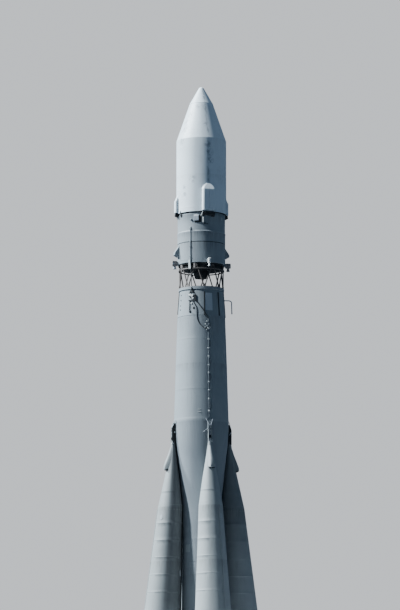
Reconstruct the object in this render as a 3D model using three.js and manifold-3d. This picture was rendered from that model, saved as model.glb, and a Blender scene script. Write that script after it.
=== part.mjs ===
// Three-stage launch rocket: a waisted core with four tapered strap-on boosters,
// an open truss, a third stage and a two-part payload fairing.
// Millimetres, +Z up. Nozzle rims stand on z = 0, the rocket's axis is x = y = 0.
// Azimuth 0 is the front booster (towards -Y), 90 the right one (+X), 180 the back, 270 the left.
import * as THREE from 'three';
import { mergeVertices } from 'three/addons/utils/BufferGeometryUtils.js';
import Module from 'manifold-3d';

const wasm = await Module();
wasm.setup();

// ---------------------------------------------------------------- driving sizes
const TOTAL_HEIGHT = 38360;
const GAP = 0.3;               // between two pieces that touch
const RUN = 8;                 // between a moving piece and what is beside it
const SEG_BODY = 32;
const SEG_BOOSTER = 20;
const SEG_BELL = 10;

// fairing
const FAIRING_R = 1327;
const FAIRING_WALL = 40;
const FAIRING_Z0 = 31370;      // lower edge
const FAIRING_Z1 = 35365;      // cylinder meets cone
const CAP_Z = 37395;           // cone meets nose cap
const CAP_R = 634.5;
const CAP_TIP_R = 161;
const SPLIT = 4;               // half the gap between the two halves
const LOCK_R = 1505;            // outer face of the lock housings

// third stage
const STAGE3_R = 1270;
const STAGE3_Z0 = 28650;
const STAGE3_Z1 = 31330;
const STAGE3_RING_Z = 30330;
const STAGE3_JOINT_Z = 29760;
const ADAPTER_R = 1222;
const ADAPTER_Z = 31420;       // flat top face that carries the load

// core
const CORE_TOP_Z = 27370;
const BAY_Z0 = 25790;
const FLANGE_R = 1208;
const FLANGE_H = 140;
const CORE_RIDGE_Z = 20310;
const CORE_TANK_SPLIT_Z = 12600;
const CORE_TAIL_Z1 = 3000;
const TAIL_Z0 = 970;           // lower edge of all tail sections
// outer radius of the core, bottom to top
const CORE_PROFILE = [
  { z: 970, r: 1025 }, { z: 15500, r: 1025 }, { z: 15850, r: 1030 }, { z: 16500, r: 1090 }, { z: 17240, r: 1173 },
  { z: 17840, r: 1240 }, { z: 18380, r: 1297 }, { z: 18920, r: 1372 }, { z: 19570, r: 1415 }, { z: 20180, r: 1438 },
  { z: 20680, r: 1427 }, { z: 21480, r: 1403 }, { z: 22280, r: 1379 }, { z: 23340, r: 1351 },
  { z: 24680, r: 1304 }, { z: 25790, r: 1265 }, { z: 27370, r: 1150 },
];

// boosters: horizontal circular sections, r = radius, rc = distance of the centre from the rocket's axis
const BOOSTER_TAIL_R = 1337;
const BOOSTER_TAIL_RC = 2657;
const BOOSTER_TAIL_Z1 = 3200;
const BOOSTER_SPLIT_Z = 9900;  // fuel tank below, oxidizer tank above
const BOOSTER_NOSE_Z = 15750;
const BOOSTER_SECTIONS = [
  { z: 3200, r: 1337, rc: 2657 }, { z: 9900, r: 953, rc: 2153 }, { z: 13860, r: 726, rc: 1858 }, { z: 15750, r: 627, rc: 1712 },
  { z: 16850, r: 457, rc: 1636 }, { z: 17290, r: 385, rc: 1607 }, { z: 18130, r: 238, rc: 1572 }, { z: 18480, r: 177, rc: 1556 },
  { z: 19020, r: 110, rc: 1552 }, { z: 19300, r: 86, rc: 1552 },
];
const BOOSTERS = [
  { name: 'front', az: 0 }, { name: 'right', az: 90 }, { name: 'back', az: 180 }, { name: 'left', az: 270 },
];

// engines
const PLATE_Z0 = 905;
const PLATE_Z1 = TAIL_Z0 - GAP;
const BELL_OFFSET = 420;       // of each main nozzle from the engine's centre, both ways
const BELL_OUTER = [[360, 0], [332, 240], [262, 530], [140, 770], [150, 860], [170, PLATE_Z0 + 20]];
const BELL_HOLLOW = [[0, -10], [339, -10], [338, 0], [310, 230], [240, 500], [110, 680], [0, 690]];
const STEER_PIVOT_Z = 800;
const STEER_TRUNNION_R = 70;
const STEER_EXIT_R = 130;
const STEER_EXIT_Z = 440;
const BOOSTER_STEER = { radius: 1050, az: 70, halfLength: 95 };
const CORE_STEER = { radius: 880, halfLength: 78 };
const EAR = { thick: 28, half: 70, z0: 730 };

// air rudder: sections along the span, in the plane across it
const RUDDER_PIVOT_Z = 1900;
const RUDDER_ROOT_R = 4012;
const RUDDER_TIP_R = 5150;
const RUDDER_SECTIONS = [
  { x: RUDDER_ROOT_R, z0: 1300, z1: 2550, t: 120 },
  { x: RUDDER_TIP_R, z0: 1300, z1: 1900, t: 60 },
];

// open truss between core and third stage
const TRUSS_R = 1185;          // at the upper end of the bars
const TRUSS_FOOT_R = 1160;
const TRUSS_Z0 = CORE_TOP_Z + GAP;
const TRUSS_Z1 = STAGE3_Z0 - GAP;
const TRUSS_BARS = 8;          // V pairs
const TRUSS_FOOT_AZ = -8.5;
const TRUSS_BAR_R = 36;
const TRUSS_RING_Z = 28345;    // frame ring round the upper ends of the bars

// ---------------------------------------------------------------- colours
const PAINT = {
  grey: { color: 0x9aa2a6, roughness: 0.55, metalness: 0.1 },
  white: { color: 0xe4e8e6, roughness: 0.5, metalness: 0.0 },
  steel: { color: 0x6b6a66, roughness: 0.45, metalness: 0.7 },
  dark: { color: 0x24272a, roughness: 0.7, metalness: 0.2 },
};

// ---------------------------------------------------------------- helpers
const rad = (d) => d * Math.PI / 180;
const LIFT = new THREE.Matrix4().makeRotationX(Math.PI / 2);   // lathe's Y becomes Z

function signedVolume(positions, index) {
  let v = 0;
  for (let i = 0; i < index.length; i += 3) {
    const [a, b, c] = [index[i] * 3, index[i + 1] * 3, index[i + 2] * 3];
    v += positions[a] * (positions[b + 1] * positions[c + 2] - positions[b + 2] * positions[c + 1])
      - positions[a + 1] * (positions[b] * positions[c + 2] - positions[b + 2] * positions[c])
      + positions[a + 2] * (positions[b] * positions[c + 1] - positions[b + 1] * positions[c]);
  }
  return v / 6;
}

// three.js geometry -> closed, outward solid
function solid(geometry) {
  const g = geometry.clone();
  g.deleteAttribute('normal');
  g.deleteAttribute('uv');
  const m = mergeVertices(g, 1e-3);
  const positions = new Float32Array(m.attributes.position.array);
  const source = m.index.array;
  const kept = [];
  for (let i = 0; i < source.length; i += 3) {
    const [a, b, c] = [source[i], source[i + 1], source[i + 2]];
    if (a !== b && b !== c && a !== c) kept.push(a, b, c);
  }
  if (signedVolume(positions, kept) < 0) {
    for (let i = 0; i < kept.length; i += 3) [kept[i + 1], kept[i + 2]] = [kept[i + 2], kept[i + 1]];
  }
  return new wasm.Manifold(new wasm.Mesh({ numProp: 3, vertProperties: positions, triVerts: new Uint32Array(kept) }));
}

const join = (...parts) => parts.flat().reduce((a, b) => a.add(b));

function mesh(name, shape, paint) {
  const out = shape.getMesh();
  const g = new THREE.BufferGeometry();
  const n = out.numProp;
  const p = new Float32Array((out.vertProperties.length / n) * 3);
  for (let i = 0, j = 0; i < out.vertProperties.length; i += n, j += 3) {
    p[j] = out.vertProperties[i]; p[j + 1] = out.vertProperties[i + 1]; p[j + 2] = out.vertProperties[i + 2];
  }
  g.setAttribute('position', new THREE.BufferAttribute(p, 3));
  g.setIndex(new THREE.BufferAttribute(new Uint32Array(out.triVerts), 1));
  g.computeVertexNormals();
  const m = new THREE.Mesh(g, new THREE.MeshStandardMaterial(PAINT[paint]));
  m.name = name;
  return m;
}

// solid of revolution about Z from [r, z] points
function turn(points, seg = SEG_BODY) {
  const profile = points.map(([r, z]) => new THREE.Vector2(r, z));
  return solid(new THREE.LatheGeometry(profile, seg).applyMatrix4(LIFT));
}
const ring = (ri, ro, z0, z1, seg = SEG_BODY) => turn([[ri, z0], [ro, z0], [ro, z1], [ri, z1], [ri, z0]], seg);
const disc = (r, z0, z1, seg = SEG_BODY) => turn([[0, z0], [r, z0], [r, z1], [0, z1]], seg);

function box(x0, x1, y0, y1, z0, z1) {
  return solid(new THREE.BoxGeometry(x1 - x0, y1 - y0, z1 - z0).translate((x0 + x1) / 2, (y0 + y1) / 2, (z0 + z1) / 2));
}

// cylinder between two points
function rod(a, b, r, seg = 8, r2 = r) {
  const A = new THREE.Vector3(...a), B = new THREE.Vector3(...b);
  const d = B.clone().sub(A);
  const g = new THREE.CylinderGeometry(r2, r, d.length(), seg);
  g.applyQuaternion(new THREE.Quaternion().setFromUnitVectors(new THREE.Vector3(0, 1, 0), d.clone().normalize()));
  g.translate(...A.clone().add(B).multiplyScalar(0.5).toArray());
  return solid(g);
}

// plate cut to a polygon in the x-z plane, thickness along y
function plate(points, y0, y1) {
  const shape = new THREE.Shape(points.map(([x, z]) => new THREE.Vector2(x, z)));
  const g = new THREE.ExtrudeGeometry(shape, { depth: y1 - y0, bevelEnabled: false });
  g.applyMatrix4(LIFT);                 // (x, y, z) -> (x, -z, y)
  g.translate(0, y1, 0);
  return solid(g);
}

// skin through closed sections with equal point counts, capped at both ends
function skin(sections) {
  const n = sections[0].length;
  const pos = sections.flat(2);
  const idx = [];
  for (let s = 0; s + 1 < sections.length; s++) {
    for (let i = 0; i < n; i++) {
      const a = s * n + i, b = s * n + (i + 1) % n;
      idx.push(a, b, b + n, a, b + n, a + n);
    }
  }
  const last = (sections.length - 1) * n;
  for (let i = 1; i + 1 < n; i++) idx.push(0, i + 1, i, last, last + i, last + i + 1);
  const g = new THREE.BufferGeometry();
  g.setAttribute('position', new THREE.Float32BufferAttribute(pos, 3));
  g.setIndex(idx);
  return solid(g);
}

const circle = (cx, r, z, seg) => Array.from({ length: seg }, (_, i) => {
  const t = 2 * Math.PI * i / seg;
  return [cx + r * Math.cos(t), r * Math.sin(t), z];
});

// local +X (outward) to azimuth az
const spin = (shape, az) => shape.rotate([0, 0, az - 90]);
const at = (az, r, z) => [r * Math.sin(rad(az)), -r * Math.cos(rad(az)), z];

function profileBetween(table, z0, z1) {
  const value = (z) => {
    for (let i = 0; i + 1 < table.length; i++) {
      const a = table[i], b = table[i + 1];
      if (z >= a.z && z <= b.z) return a.r + (b.r - a.r) * (z - a.z) / (b.z - a.z);
    }
    return table[table.length - 1].r;
  };
  const rows = [[value(z0), z0]];
  for (const row of table) if (row.z > z0 + 1 && row.z < z1 - 1) rows.push([row.r, row.z]);
  rows.push([value(z1), z1]);
  return rows;
}
const coreRadius = (z) => profileBetween(CORE_PROFILE, z, z + 0.001)[0][0];
const coreSolid = (z0, z1) => turn([[0, z0], ...profileBetween(CORE_PROFILE, z0, z1), [0, z1]]);

function boosterSection(z) {
  const t = BOOSTER_SECTIONS;
  for (let i = 0; i + 1 < t.length; i++) {
    if (z >= t[i].z && z <= t[i + 1].z) {
      const k = (z - t[i].z) / (t[i + 1].z - t[i].z);
      return { z, r: t[i].r + k * (t[i + 1].r - t[i].r), rc: t[i].rc + k * (t[i + 1].rc - t[i].rc) };
    }
  }
  return t[t.length - 1];
}
function boosterSolid(z0, z1) {
  const rows = [boosterSection(z0), ...BOOSTER_SECTIONS.filter((s) => s.z > z0 + 1 && s.z < z1 - 1), boosterSection(z1)];
  rows[0] = { ...rows[0], z: z0 }; rows[rows.length - 1] = { ...rows[rows.length - 1], z: z1 };
  return skin(rows.map((s) => circle(s.rc, s.r, s.z, SEG_BOOSTER)));
}

// ---------------------------------------------------------------- engines
const bell = turn([[0, 0], ...BELL_OUTER, [0, PLATE_Z0 + 20]], SEG_BELL).subtract(turn(BELL_HOLLOW, SEG_BELL));

// two ears that carry a swinging nozzle; local +X is the pivot's axis
function ears(radius, halfLength) {
  const s = halfLength + RUN;
  return [
    box(radius - s - EAR.thick, radius - s, -EAR.half, EAR.half, EAR.z0, PLATE_Z0 + 20),
    box(radius + s, radius + s + EAR.thick, -EAR.half, EAR.half, EAR.z0, PLATE_Z0 + 20),
  ];
}
function engine(plateR, earSets) {
  const parts = [disc(plateR, PLATE_Z0, PLATE_Z1, SEG_BOOSTER)];
  for (const sx of [-1, 1]) for (const sy of [-1, 1]) parts.push(bell.translate([sx * BELL_OFFSET, sy * BELL_OFFSET, 0]));
  for (const e of earSets) for (const p of ears(e.radius, e.halfLength)) parts.push(p.rotate([0, 0, e.angle]));
  return join(parts);
}
// swinging nozzle hung from a trunnion along local +X
function steering(halfLength) {
  const c = turn([[0, STEER_PIVOT_Z - 20], [44, STEER_PIVOT_Z - 20], [56, 670], [95, 570], [STEER_EXIT_R, STEER_EXIT_Z],
    [STEER_EXIT_R - 16, STEER_EXIT_Z], [80, 570], [0, 640]].reverse(), 8);
  return join(rod([-halfLength, 0, STEER_PIVOT_Z], [halfLength, 0, STEER_PIVOT_Z], STEER_TRUNNION_R, 8), c);
}

// ---------------------------------------------------------------- the assembly
const rocket = new THREE.Group();
rocket.name = 'three_stage_rocket';
const put = (name, shape, paint) => rocket.add(mesh(name, shape, paint));

// core
put('core_engine', engine(998, BOOSTERS.map((b) => ({ ...CORE_STEER, angle: b.az }))), 'steel');
for (const b of BOOSTERS) {
  put(`core_steering_engine_${b.name}`, spin(steering(CORE_STEER.halfLength).translate([CORE_STEER.radius, 0, 0]), b.az), 'steel');
}
put('core_tail_section', coreSolid(TAIL_Z0, CORE_TAIL_Z1 - GAP), 'grey');
put('core_fuel_tank', coreSolid(CORE_TAIL_Z1, CORE_TANK_SPLIT_Z - GAP), 'grey');
{
  const ridge = turn([[0, CORE_RIDGE_Z - 120], [1439, CORE_RIDGE_Z - 120], [1447, CORE_RIDGE_Z - 70], [1447, CORE_RIDGE_Z + 10],
    [1435, CORE_RIDGE_Z + 40], [0, CORE_RIDGE_Z + 40]]);
  const lugs = BOOSTERS.map((b) => spin(plate([[1400, 19760], [1640, 19760], [1640, 19900], [1530, 20200], [1400, 20200]], -98, 98), b.az));
  put('core_oxidizer_tank', join(coreSolid(CORE_TANK_SPLIT_Z, BAY_Z0 - GAP), ridge, lugs), 'grey');
}
{
  const path = new THREE.CatmullRomCurve3([
    new THREE.Vector3(coreRadius(26800) - 30, 0, 26800), new THREE.Vector3(1440, 0, 26800), new THREE.Vector3(1560, 0, 26760),
    new THREE.Vector3(1610, 0, 26640), new THREE.Vector3(1622, 0, 26400), new THREE.Vector3(1628, 0, 26080),
  ]);
  const round = new THREE.Shape().absarc(0, 0, 30, 0, 2 * Math.PI, false);
  const vent = solid(new THREE.ExtrudeGeometry(round, { steps: 20, extrudePath: path, bevelEnabled: false, curveSegments: 8 }));
  put('core_equipment_bay', join(coreSolid(BAY_Z0, CORE_TOP_Z), ring(1060, FLANGE_R, CORE_TOP_Z - FLANGE_H, CORE_TOP_Z), spin(vent, 80)), 'grey');
}
{
  const struts = [];
  for (const b of BOOSTERS) for (const s of [-1, 1]) {
    struts.push(spin(rod([1040, s * 120, 2640], [1316, s * 230, 2640], 45, 8), b.az));
  }
  put('core_lower_struts', join(ring(1025 + GAP, 1062, 2560, 2720), struts), 'steel');
}
{
  const zs = [20420, 20700, 21480, 22280, 23340, 24680, 25700];
  const inner = zs.map((z) => [coreRadius(z) + 2, z]);
  const outer = zs.map((z) => [coreRadius(z) + 44, z]).reverse();
  put('core_cable_raceway', spin(plate([...inner, ...outer], -28, 28), 0), 'grey');
}

// open truss
{
  const bars = [];
  for (let k = 0; k < TRUSS_BARS; k++) {
    const foot = TRUSS_FOOT_AZ + k * 360 / TRUSS_BARS;
    for (const s of [-1, 1]) {
      const a = at(foot + s * 1.2, TRUSS_FOOT_R, TRUSS_Z0 + 14), b = at(foot + s * (180 / TRUSS_BARS - 1.2), TRUSS_R, TRUSS_Z1 - 40);
      bars.push(rod(a, b, TRUSS_BAR_R, 8));
    }
  }
  put('interstage_truss', join(ring(TRUSS_FOOT_R - 50, TRUSS_FOOT_R + 42, TRUSS_Z0, TRUSS_Z0 + 25), ring(TRUSS_R - 13, TRUSS_R + 37, TRUSS_RING_Z - 28, TRUSS_RING_Z + 28), ring(TRUSS_R - 45, TRUSS_R + 40, TRUSS_Z1 - 70, TRUSS_Z1), bars), 'steel');
}

// third stage
put('third_stage_engine', turn([
  [0, STAGE3_Z0 - GAP], [1128, STAGE3_Z0 - GAP], [1128, 28420], [1095, 28392], [430, 28384], [405, 28360], [400, 28150], [362, 28050],
  [358, 27975], [330, 27975], [300, 28080], [0, 28120]].reverse()), 'dark');
{
  const body = turn([
    [0, STAGE3_Z0], [STAGE3_R, STAGE3_Z0], [STAGE3_R, STAGE3_JOINT_Z - 18], [STAGE3_R - 18, STAGE3_JOINT_Z - 18], [STAGE3_R - 18, STAGE3_JOINT_Z + 18],
    [STAGE3_R, STAGE3_JOINT_Z + 18], [STAGE3_R, STAGE3_RING_Z - 45], [STAGE3_R + 14, STAGE3_RING_Z - 30], [STAGE3_R + 14, STAGE3_RING_Z + 30],
    [STAGE3_R, STAGE3_RING_Z + 45], [STAGE3_R, STAGE3_Z1], [ADAPTER_R, STAGE3_Z1], [ADAPTER_R, ADAPTER_Z], [0, ADAPTER_Z]]);
  const extra = [];
  for (const b of BOOSTERS) extra.push(spin(rod([1235, 0, 28720], [1312, 0, 28720], 95, 12), b.az));
  for (const az of [90, 270]) {
    // wedge pod and fairing hinge bracket
    extra.push(spin(plate([[1230, 29620], [1273, 29620], [1510, 29270], [1510, 29160], [1330, 29050], [1230, 29050]], -170, 170), az));
    extra.push(spin(plate([[1230, 31180], [1330, 31180], [1420, 31220], [1438, 31245], [1438, 31290], [1410, 31320], [1230, 31320]], -84, 84), az));
  }
  for (const az of [0, 180]) {
    // latch block under the fairing's lock housing
    extra.push(spin(plate([[1200, 31080], [1330, 31080], [1420, 31200], [1420, 31325], [1200, 31325]], -340, 340), az));
  }
  // round-topped equipment box beside the front latch
  extra.push(spin(box(1200, 1345, -128, 128, 30850, 31215), -28.4));
  put('third_stage_body', join(body, extra), 'grey');
}
for (const b of BOOSTERS) {
  const nozzle = turn([[0, 28640], [48, 28640], [48, 28540], [64, 28450], [84, 28360], [68, 28360], [0, 28520]].reverse(), 8);
  const head = plate([[1325, 28600], [1355, 28565], [1586, 28565], [1618, 28605], [1618, 28800], [1578, 28842], [1355, 28842], [1325, 28810]], -66, 66);
  put(`third_stage_steering_nozzle_${b.name}`, spin(join(head, nozzle.translate([1478, 0, 0])), b.az), 'steel');
}

// fairing and nose cap, both cut along the same upright plane
const sideBox = (side) => (side === 'right' ? box(SPLIT, 3000, -2000, 2000, 31000, 38500) : box(-3000, -SPLIT, -2000, 2000, 31000, 38500));
const fairingShell = turn([
  [FAIRING_R, FAIRING_Z0], [FAIRING_R, FAIRING_Z1], [CAP_R, CAP_Z - GAP], [CAP_R - 42, CAP_Z - GAP], [FAIRING_R - FAIRING_WALL, FAIRING_Z1 - 8],
  [FAIRING_R - FAIRING_WALL, FAIRING_Z0 + 90], [FAIRING_R - 70, FAIRING_Z0 + 70], [FAIRING_R - 70, FAIRING_Z0], [FAIRING_R, FAIRING_Z0]]);
const capTip = [];
{
  const centre = TOTAL_HEIGHT - CAP_TIP_R;
  for (const deg of [0, 20, 42, 61.8]) capTip.unshift([CAP_TIP_R * Math.sin(rad(deg)), centre + CAP_TIP_R * Math.cos(rad(deg))]);
}
const capShell = turn([[CAP_R, CAP_Z], ...capTip, [0, TOTAL_HEIGHT - 50], [150, TOTAL_HEIGHT - 190], [CAP_R - 45, CAP_Z], [CAP_R, CAP_Z]]);
for (const side of ['left', 'right']) {
  put(`fairing_half_${side}`, fairingShell.intersect(sideBox(side)), 'white');
  put(`nose_cap_${side}`, capShell.intersect(sideBox(side)), 'white');
}
// lock housings over the two seams, one half on each fairing half
for (const b of [BOOSTERS[0], BOOSTERS[2]]) {
  const outer = plate([[1270, 31400], [LOCK_R, 31400], [LOCK_R, 32540], [1344, 32860], [1270, 32860]], -360, 360);
  const housing = spin(outer.subtract(disc(FAIRING_R + GAP, 31000, 33500)), b.az);
  for (const side of ['left', 'right']) put(`fairing_lock_${b.name}_${side}`, housing.intersect(sideBox(side)), 'white');
}
for (const b of [BOOSTERS[1], BOOSTERS[3]]) {
  const outer = plate([[1280, 31420], [1474, 31420], [1474, 32060], [1430, 32120], [1345, 32360], [1280, 32360]], -150, 150);
  put(`fairing_hinge_housing_${b.name}`, spin(outer.subtract(disc(FAIRING_R + GAP, 31000, 33500)), b.az), 'white');
}

// boosters
for (const b of BOOSTERS) {
  const here = (name, shape, paint) => put(`booster_${b.name}_${name}`, spin(shape, b.az), paint);
  const shift = (shape) => shape.translate([BOOSTER_TAIL_RC, 0, 0]);
  const angles = [BOOSTER_STEER.az, -BOOSTER_STEER.az];
  here('engine', shift(engine(1265, angles.map((a) => ({ ...BOOSTER_STEER, angle: a })))), 'steel');
  angles.forEach((a, i) => {
    const n = steering(BOOSTER_STEER.halfLength).translate([BOOSTER_STEER.radius, 0, 0]).rotate([0, 0, a]);
    here(`steering_engine_${'ab'[i]}`, shift(n), 'steel');
  });
  here('tail_section', join(
    skin([circle(BOOSTER_TAIL_RC, BOOSTER_TAIL_R, TAIL_Z0, SEG_BOOSTER), circle(BOOSTER_TAIL_RC, BOOSTER_TAIL_R, BOOSTER_TAIL_Z1 - GAP, SEG_BOOSTER)]),
    rod([3900, 0, RUDDER_PIVOT_Z], [RUDDER_ROOT_R - RUN, 0, RUDDER_PIVOT_Z], 170, 16)), 'grey');
  here('fuel_tank', boosterSolid(BOOSTER_TAIL_Z1, BOOSTER_SPLIT_Z - GAP), 'grey');
  here('oxidizer_tank', boosterSolid(BOOSTER_SPLIT_Z, BOOSTER_NOSE_Z - GAP), 'grey');
  here('nose', join(
    boosterSolid(BOOSTER_NOSE_Z, 19300),
    skin([circle(1552, 62, 19280, 12), circle(1552, 62, 19758, 12)]),
    box(1500, 1640, 68, 98, 19140, 19758), box(1500, 1640, -98, -68, 19140, 19758),
    plate([[1560, 18900], [1655, 18900], [2040, 17930], [2046, 17800], [1950, 17720], [1600, 17720]], -185, 185)), 'grey');
  here('air_rudder', skin(RUDDER_SECTIONS.map((s) => {
    const c = s.z1 - s.z0;
    return [[0, s.z0], [s.t / 2, s.z0 + 0.18 * c], [s.t / 2, s.z1 - 0.3 * c], [0, s.z1], [-s.t / 2, s.z1 - 0.3 * c], [-s.t / 2, s.z0 + 0.18 * c]]
      .map(([y, z]) => [s.x, y, z]);
  })), 'grey');
}

export default rocket;
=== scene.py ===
import math
import random

import bpy
import numpy as np
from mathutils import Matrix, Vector


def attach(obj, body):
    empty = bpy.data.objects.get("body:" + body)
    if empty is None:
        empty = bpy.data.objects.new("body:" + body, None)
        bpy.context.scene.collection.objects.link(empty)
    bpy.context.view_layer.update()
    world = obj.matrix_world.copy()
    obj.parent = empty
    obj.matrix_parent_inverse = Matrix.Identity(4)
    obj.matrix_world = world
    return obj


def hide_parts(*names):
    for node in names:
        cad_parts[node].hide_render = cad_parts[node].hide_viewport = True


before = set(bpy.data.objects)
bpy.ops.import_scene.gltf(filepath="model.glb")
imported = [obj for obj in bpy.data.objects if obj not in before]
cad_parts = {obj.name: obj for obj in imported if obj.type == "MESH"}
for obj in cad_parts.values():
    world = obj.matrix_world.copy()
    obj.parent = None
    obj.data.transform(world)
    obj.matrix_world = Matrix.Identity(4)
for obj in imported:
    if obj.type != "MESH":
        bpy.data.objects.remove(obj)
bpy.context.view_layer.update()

random.seed(11)

# ------------------------------------------------------------------ frame sizes, metres
FAIRING_R, FAIRING_WALL, FAIRING_Z0, FAIRING_Z1 = 1.327, 0.040, 31.370, 35.365
CAP_Z, CAP_R, CAP_TIP_R, TOP_Z = 37.395, 0.6345, 0.161, 38.3593
LOCK_R = 1.505
SPLIT = 0.004
S3_R, S3_Z0, S3_Z1, S3_RING_Z, S3_JOINT_Z = 1.270, 28.650, 31.330, 30.330, 29.760
ADAPTER_R, ADAPTER_Z = 1.222, 31.420
CORE_TOP_Z, BAY_Z0, RIDGE_Z, CORE_SPLIT_Z, CORE_TAIL_Z1, TAIL_Z0 = 27.370, 25.790, 20.310, 12.600, 3.000, 0.970
GAP = 0.0003
CORE = [(0.970, 1.025), (15.500, 1.025), (15.850, 1.030), (16.500, 1.090), (17.240, 1.173), (17.840, 1.240), (18.380, 1.297), (18.920, 1.372),
        (19.570, 1.415), (20.180, 1.438), (20.680, 1.427), (21.480, 1.403), (22.280, 1.379), (23.340, 1.351), (24.680, 1.304), (25.790, 1.265), (27.370, 1.150)]
FLANGE_R, FLANGE_Z = 1.208, 27.230
# booster sections: z, radius, distance of the centre from the rocket's axis
BOOSTER = [(3.200, 1.337, 2.657), (9.900, 0.953, 2.153), (13.860, 0.726, 1.858), (15.750, 0.627, 1.712), (16.850, 0.457, 1.636), (17.290, 0.385, 1.607),
           (18.130, 0.238, 1.572), (18.480, 0.177, 1.556), (19.020, 0.110, 1.552), (19.300, 0.086, 1.552)]
TAIL_R, TAIL_RC, TAIL_Z1, B_SPLIT_Z, NOSE_Z = 1.337, 2.657, 3.200, 9.900, 15.750
FAIRING_SOOT = [(-66, 35.89, 0.30), (-57.8, 36.70, 0.22), (-69, 36.30, 0.24), (-32, 37.20, 0.16), (-36.8, 33.13, 0.26), (-59.1, 32.73, 0.16), (-58.2, 32.34, 0.16), (-69, 35.25, 0.26),
                (-1.6, 34.93, 0.30), (1.9, 34.56, 0.30), (4.3, 34.13, 0.24), (-3.7, 36.12, 0.18), (118, 34.6, 0.28), (148, 33.2, 0.24), (-140, 36.2, 0.26), (170, 35.4, 0.22)]
SIDES = [("front", 0), ("right", 90), ("back", 180), ("left", 270)]


# ------------------------------------------------------------------ mesh code
def smooth_table(table, z0, z1, step):
    """Rows of a z-table between z0 and z1, rounded off between the measured rows."""
    zs = np.array([t[0] for t in table])
    cols = [np.array([t[i] for t in table]) for i in range(1, len(table[0]))]
    n = max(2, int(math.ceil((z1 - z0) / step)) + 1)
    out_z = np.linspace(z0, z1, n)
    rows = []
    for z in out_z:
        w = [-0.18, -0.09, 0.0, 0.09, 0.18]
        if z < z0 + 0.2 or z > z1 - 0.2:
            w = [0.0]
        rows.append([float(z)] + [float(np.mean([np.interp(z + d, zs, c) for d in w])) for c in cols])
    return rows


def core_r(z):
    return float(np.interp(z, [c[0] for c in CORE], [c[1] for c in CORE]))


def lathe(profile, seg=128, closed=False):
    """Surface of revolution about Z from (r, z) rows. A row with r = 0 is one point on the axis."""
    verts, rings = [], []
    for r, z in profile:
        if abs(r) < 1e-9:
            rings.append([len(verts)])
            verts.append((0, 0, z))
        else:
            rings.append(list(range(len(verts), len(verts) + seg)))
            verts += [(r * math.cos(2 * math.pi * i / seg), r * math.sin(2 * math.pi * i / seg), z) for i in range(seg)]
    faces = []
    pairs = list(zip(rings, rings[1:]))
    if closed:
        pairs.append((rings[-1], rings[0]))
    for a, b in pairs:
        if len(a) == 1 and len(b) == 1:
            continue
        for i in range(seg):
            j = (i + 1) % seg
            if len(a) == 1:
                faces.append((a[0], b[j], b[i]))
            elif len(b) == 1:
                faces.append((a[i], a[j], b[0]))
            else:
                faces.append((a[i], a[j], b[j], b[i]))
    return np.array(verts, float), faces


def wedge_lathe(profile, a0, a1, seg):
    """Closed profile (r, z) turned from angle a0 to a1 in degrees, with end faces."""
    n = len(profile)
    verts = []
    for k in range(seg + 1):
        t = math.radians(a0 + (a1 - a0) * k / seg)
        verts += [(r * math.cos(t), r * math.sin(t), z) for r, z in profile]
    faces = []
    for k in range(seg):
        for i in range(n):
            j = (i + 1) % n
            faces.append((k * n + i, (k + 1) * n + i, (k + 1) * n + j, k * n + j))
    faces.append(tuple(range(n)))
    faces.append(tuple(reversed(range(seg * n, seg * n + n))))
    return np.array(verts, float), faces


def loft(rows, seg=72, cap=True):
    """Horizontal circles (z, r, cx), outward along local +X."""
    verts, faces = [], []
    for z, r, cx in rows:
        verts += [(cx + r * math.cos(2 * math.pi * i / seg), r * math.sin(2 * math.pi * i / seg), z) for i in range(seg)]
    for k in range(len(rows) - 1):
        for i in range(seg):
            j = (i + 1) % seg
            faces.append((k * seg + i, k * seg + j, (k + 1) * seg + j, (k + 1) * seg + i))
    if cap:
        faces.append(tuple(reversed(range(seg))))
        faces.append(tuple(range((len(rows) - 1) * seg, len(rows) * seg)))
    return np.array(verts, float), faces


def prism(points, y0, y1):
    """Polygon in x-z, thickness along y."""
    n = len(points)
    area = sum(points[i][0] * points[(i + 1) % n][1] - points[(i + 1) % n][0] * points[i][1] for i in range(n))
    pts = points if area > 0 else points[::-1]
    verts = [(x, y0, z) for x, z in pts] + [(x, y1, z) for x, z in pts]
    faces = [tuple(range(n)), tuple(reversed(range(n, 2 * n)))]
    for i in range(n):
        j = (i + 1) % n
        faces.append((i, i + n, j + n, j))
    return np.array(verts, float), faces


def block(x0, x1, y0, y1, z0, z1):
    return prism([(x0, z0), (x1, z0), (x1, z1), (x0, z1)], y0, y1)


def sweep(points, r, seg=10, taper=None):
    """Round tube along points, with capped ends."""
    pts = [Vector(p) for p in points]
    verts, faces = [], []
    up = None
    n = len(pts)
    for k, p in enumerate(pts):
        d = (pts[min(k + 1, n - 1)] - pts[max(k - 1, 0)]).normalized()
        if up is None:
            up = Vector((0, 0, 1)) if abs(d.z) < 0.9 else Vector((1, 0, 0))
        side = d.cross(up).normalized()
        up = side.cross(d).normalized()
        rr = r if taper is None else r * taper[k]
        for i in range(seg):
            t = 2 * math.pi * i / seg
            v = p + side * (rr * math.cos(t)) + up * (rr * math.sin(t))
            verts.append(tuple(v))
    for k in range(n - 1):
        for i in range(seg):
            j = (i + 1) % seg
            faces.append((k * seg + i, k * seg + j, (k + 1) * seg + j, (k + 1) * seg + i))
    faces.append(tuple(reversed(range(seg))))
    faces.append(tuple(range((n - 1) * seg, n * seg)))
    return np.array(verts, float), faces


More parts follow.
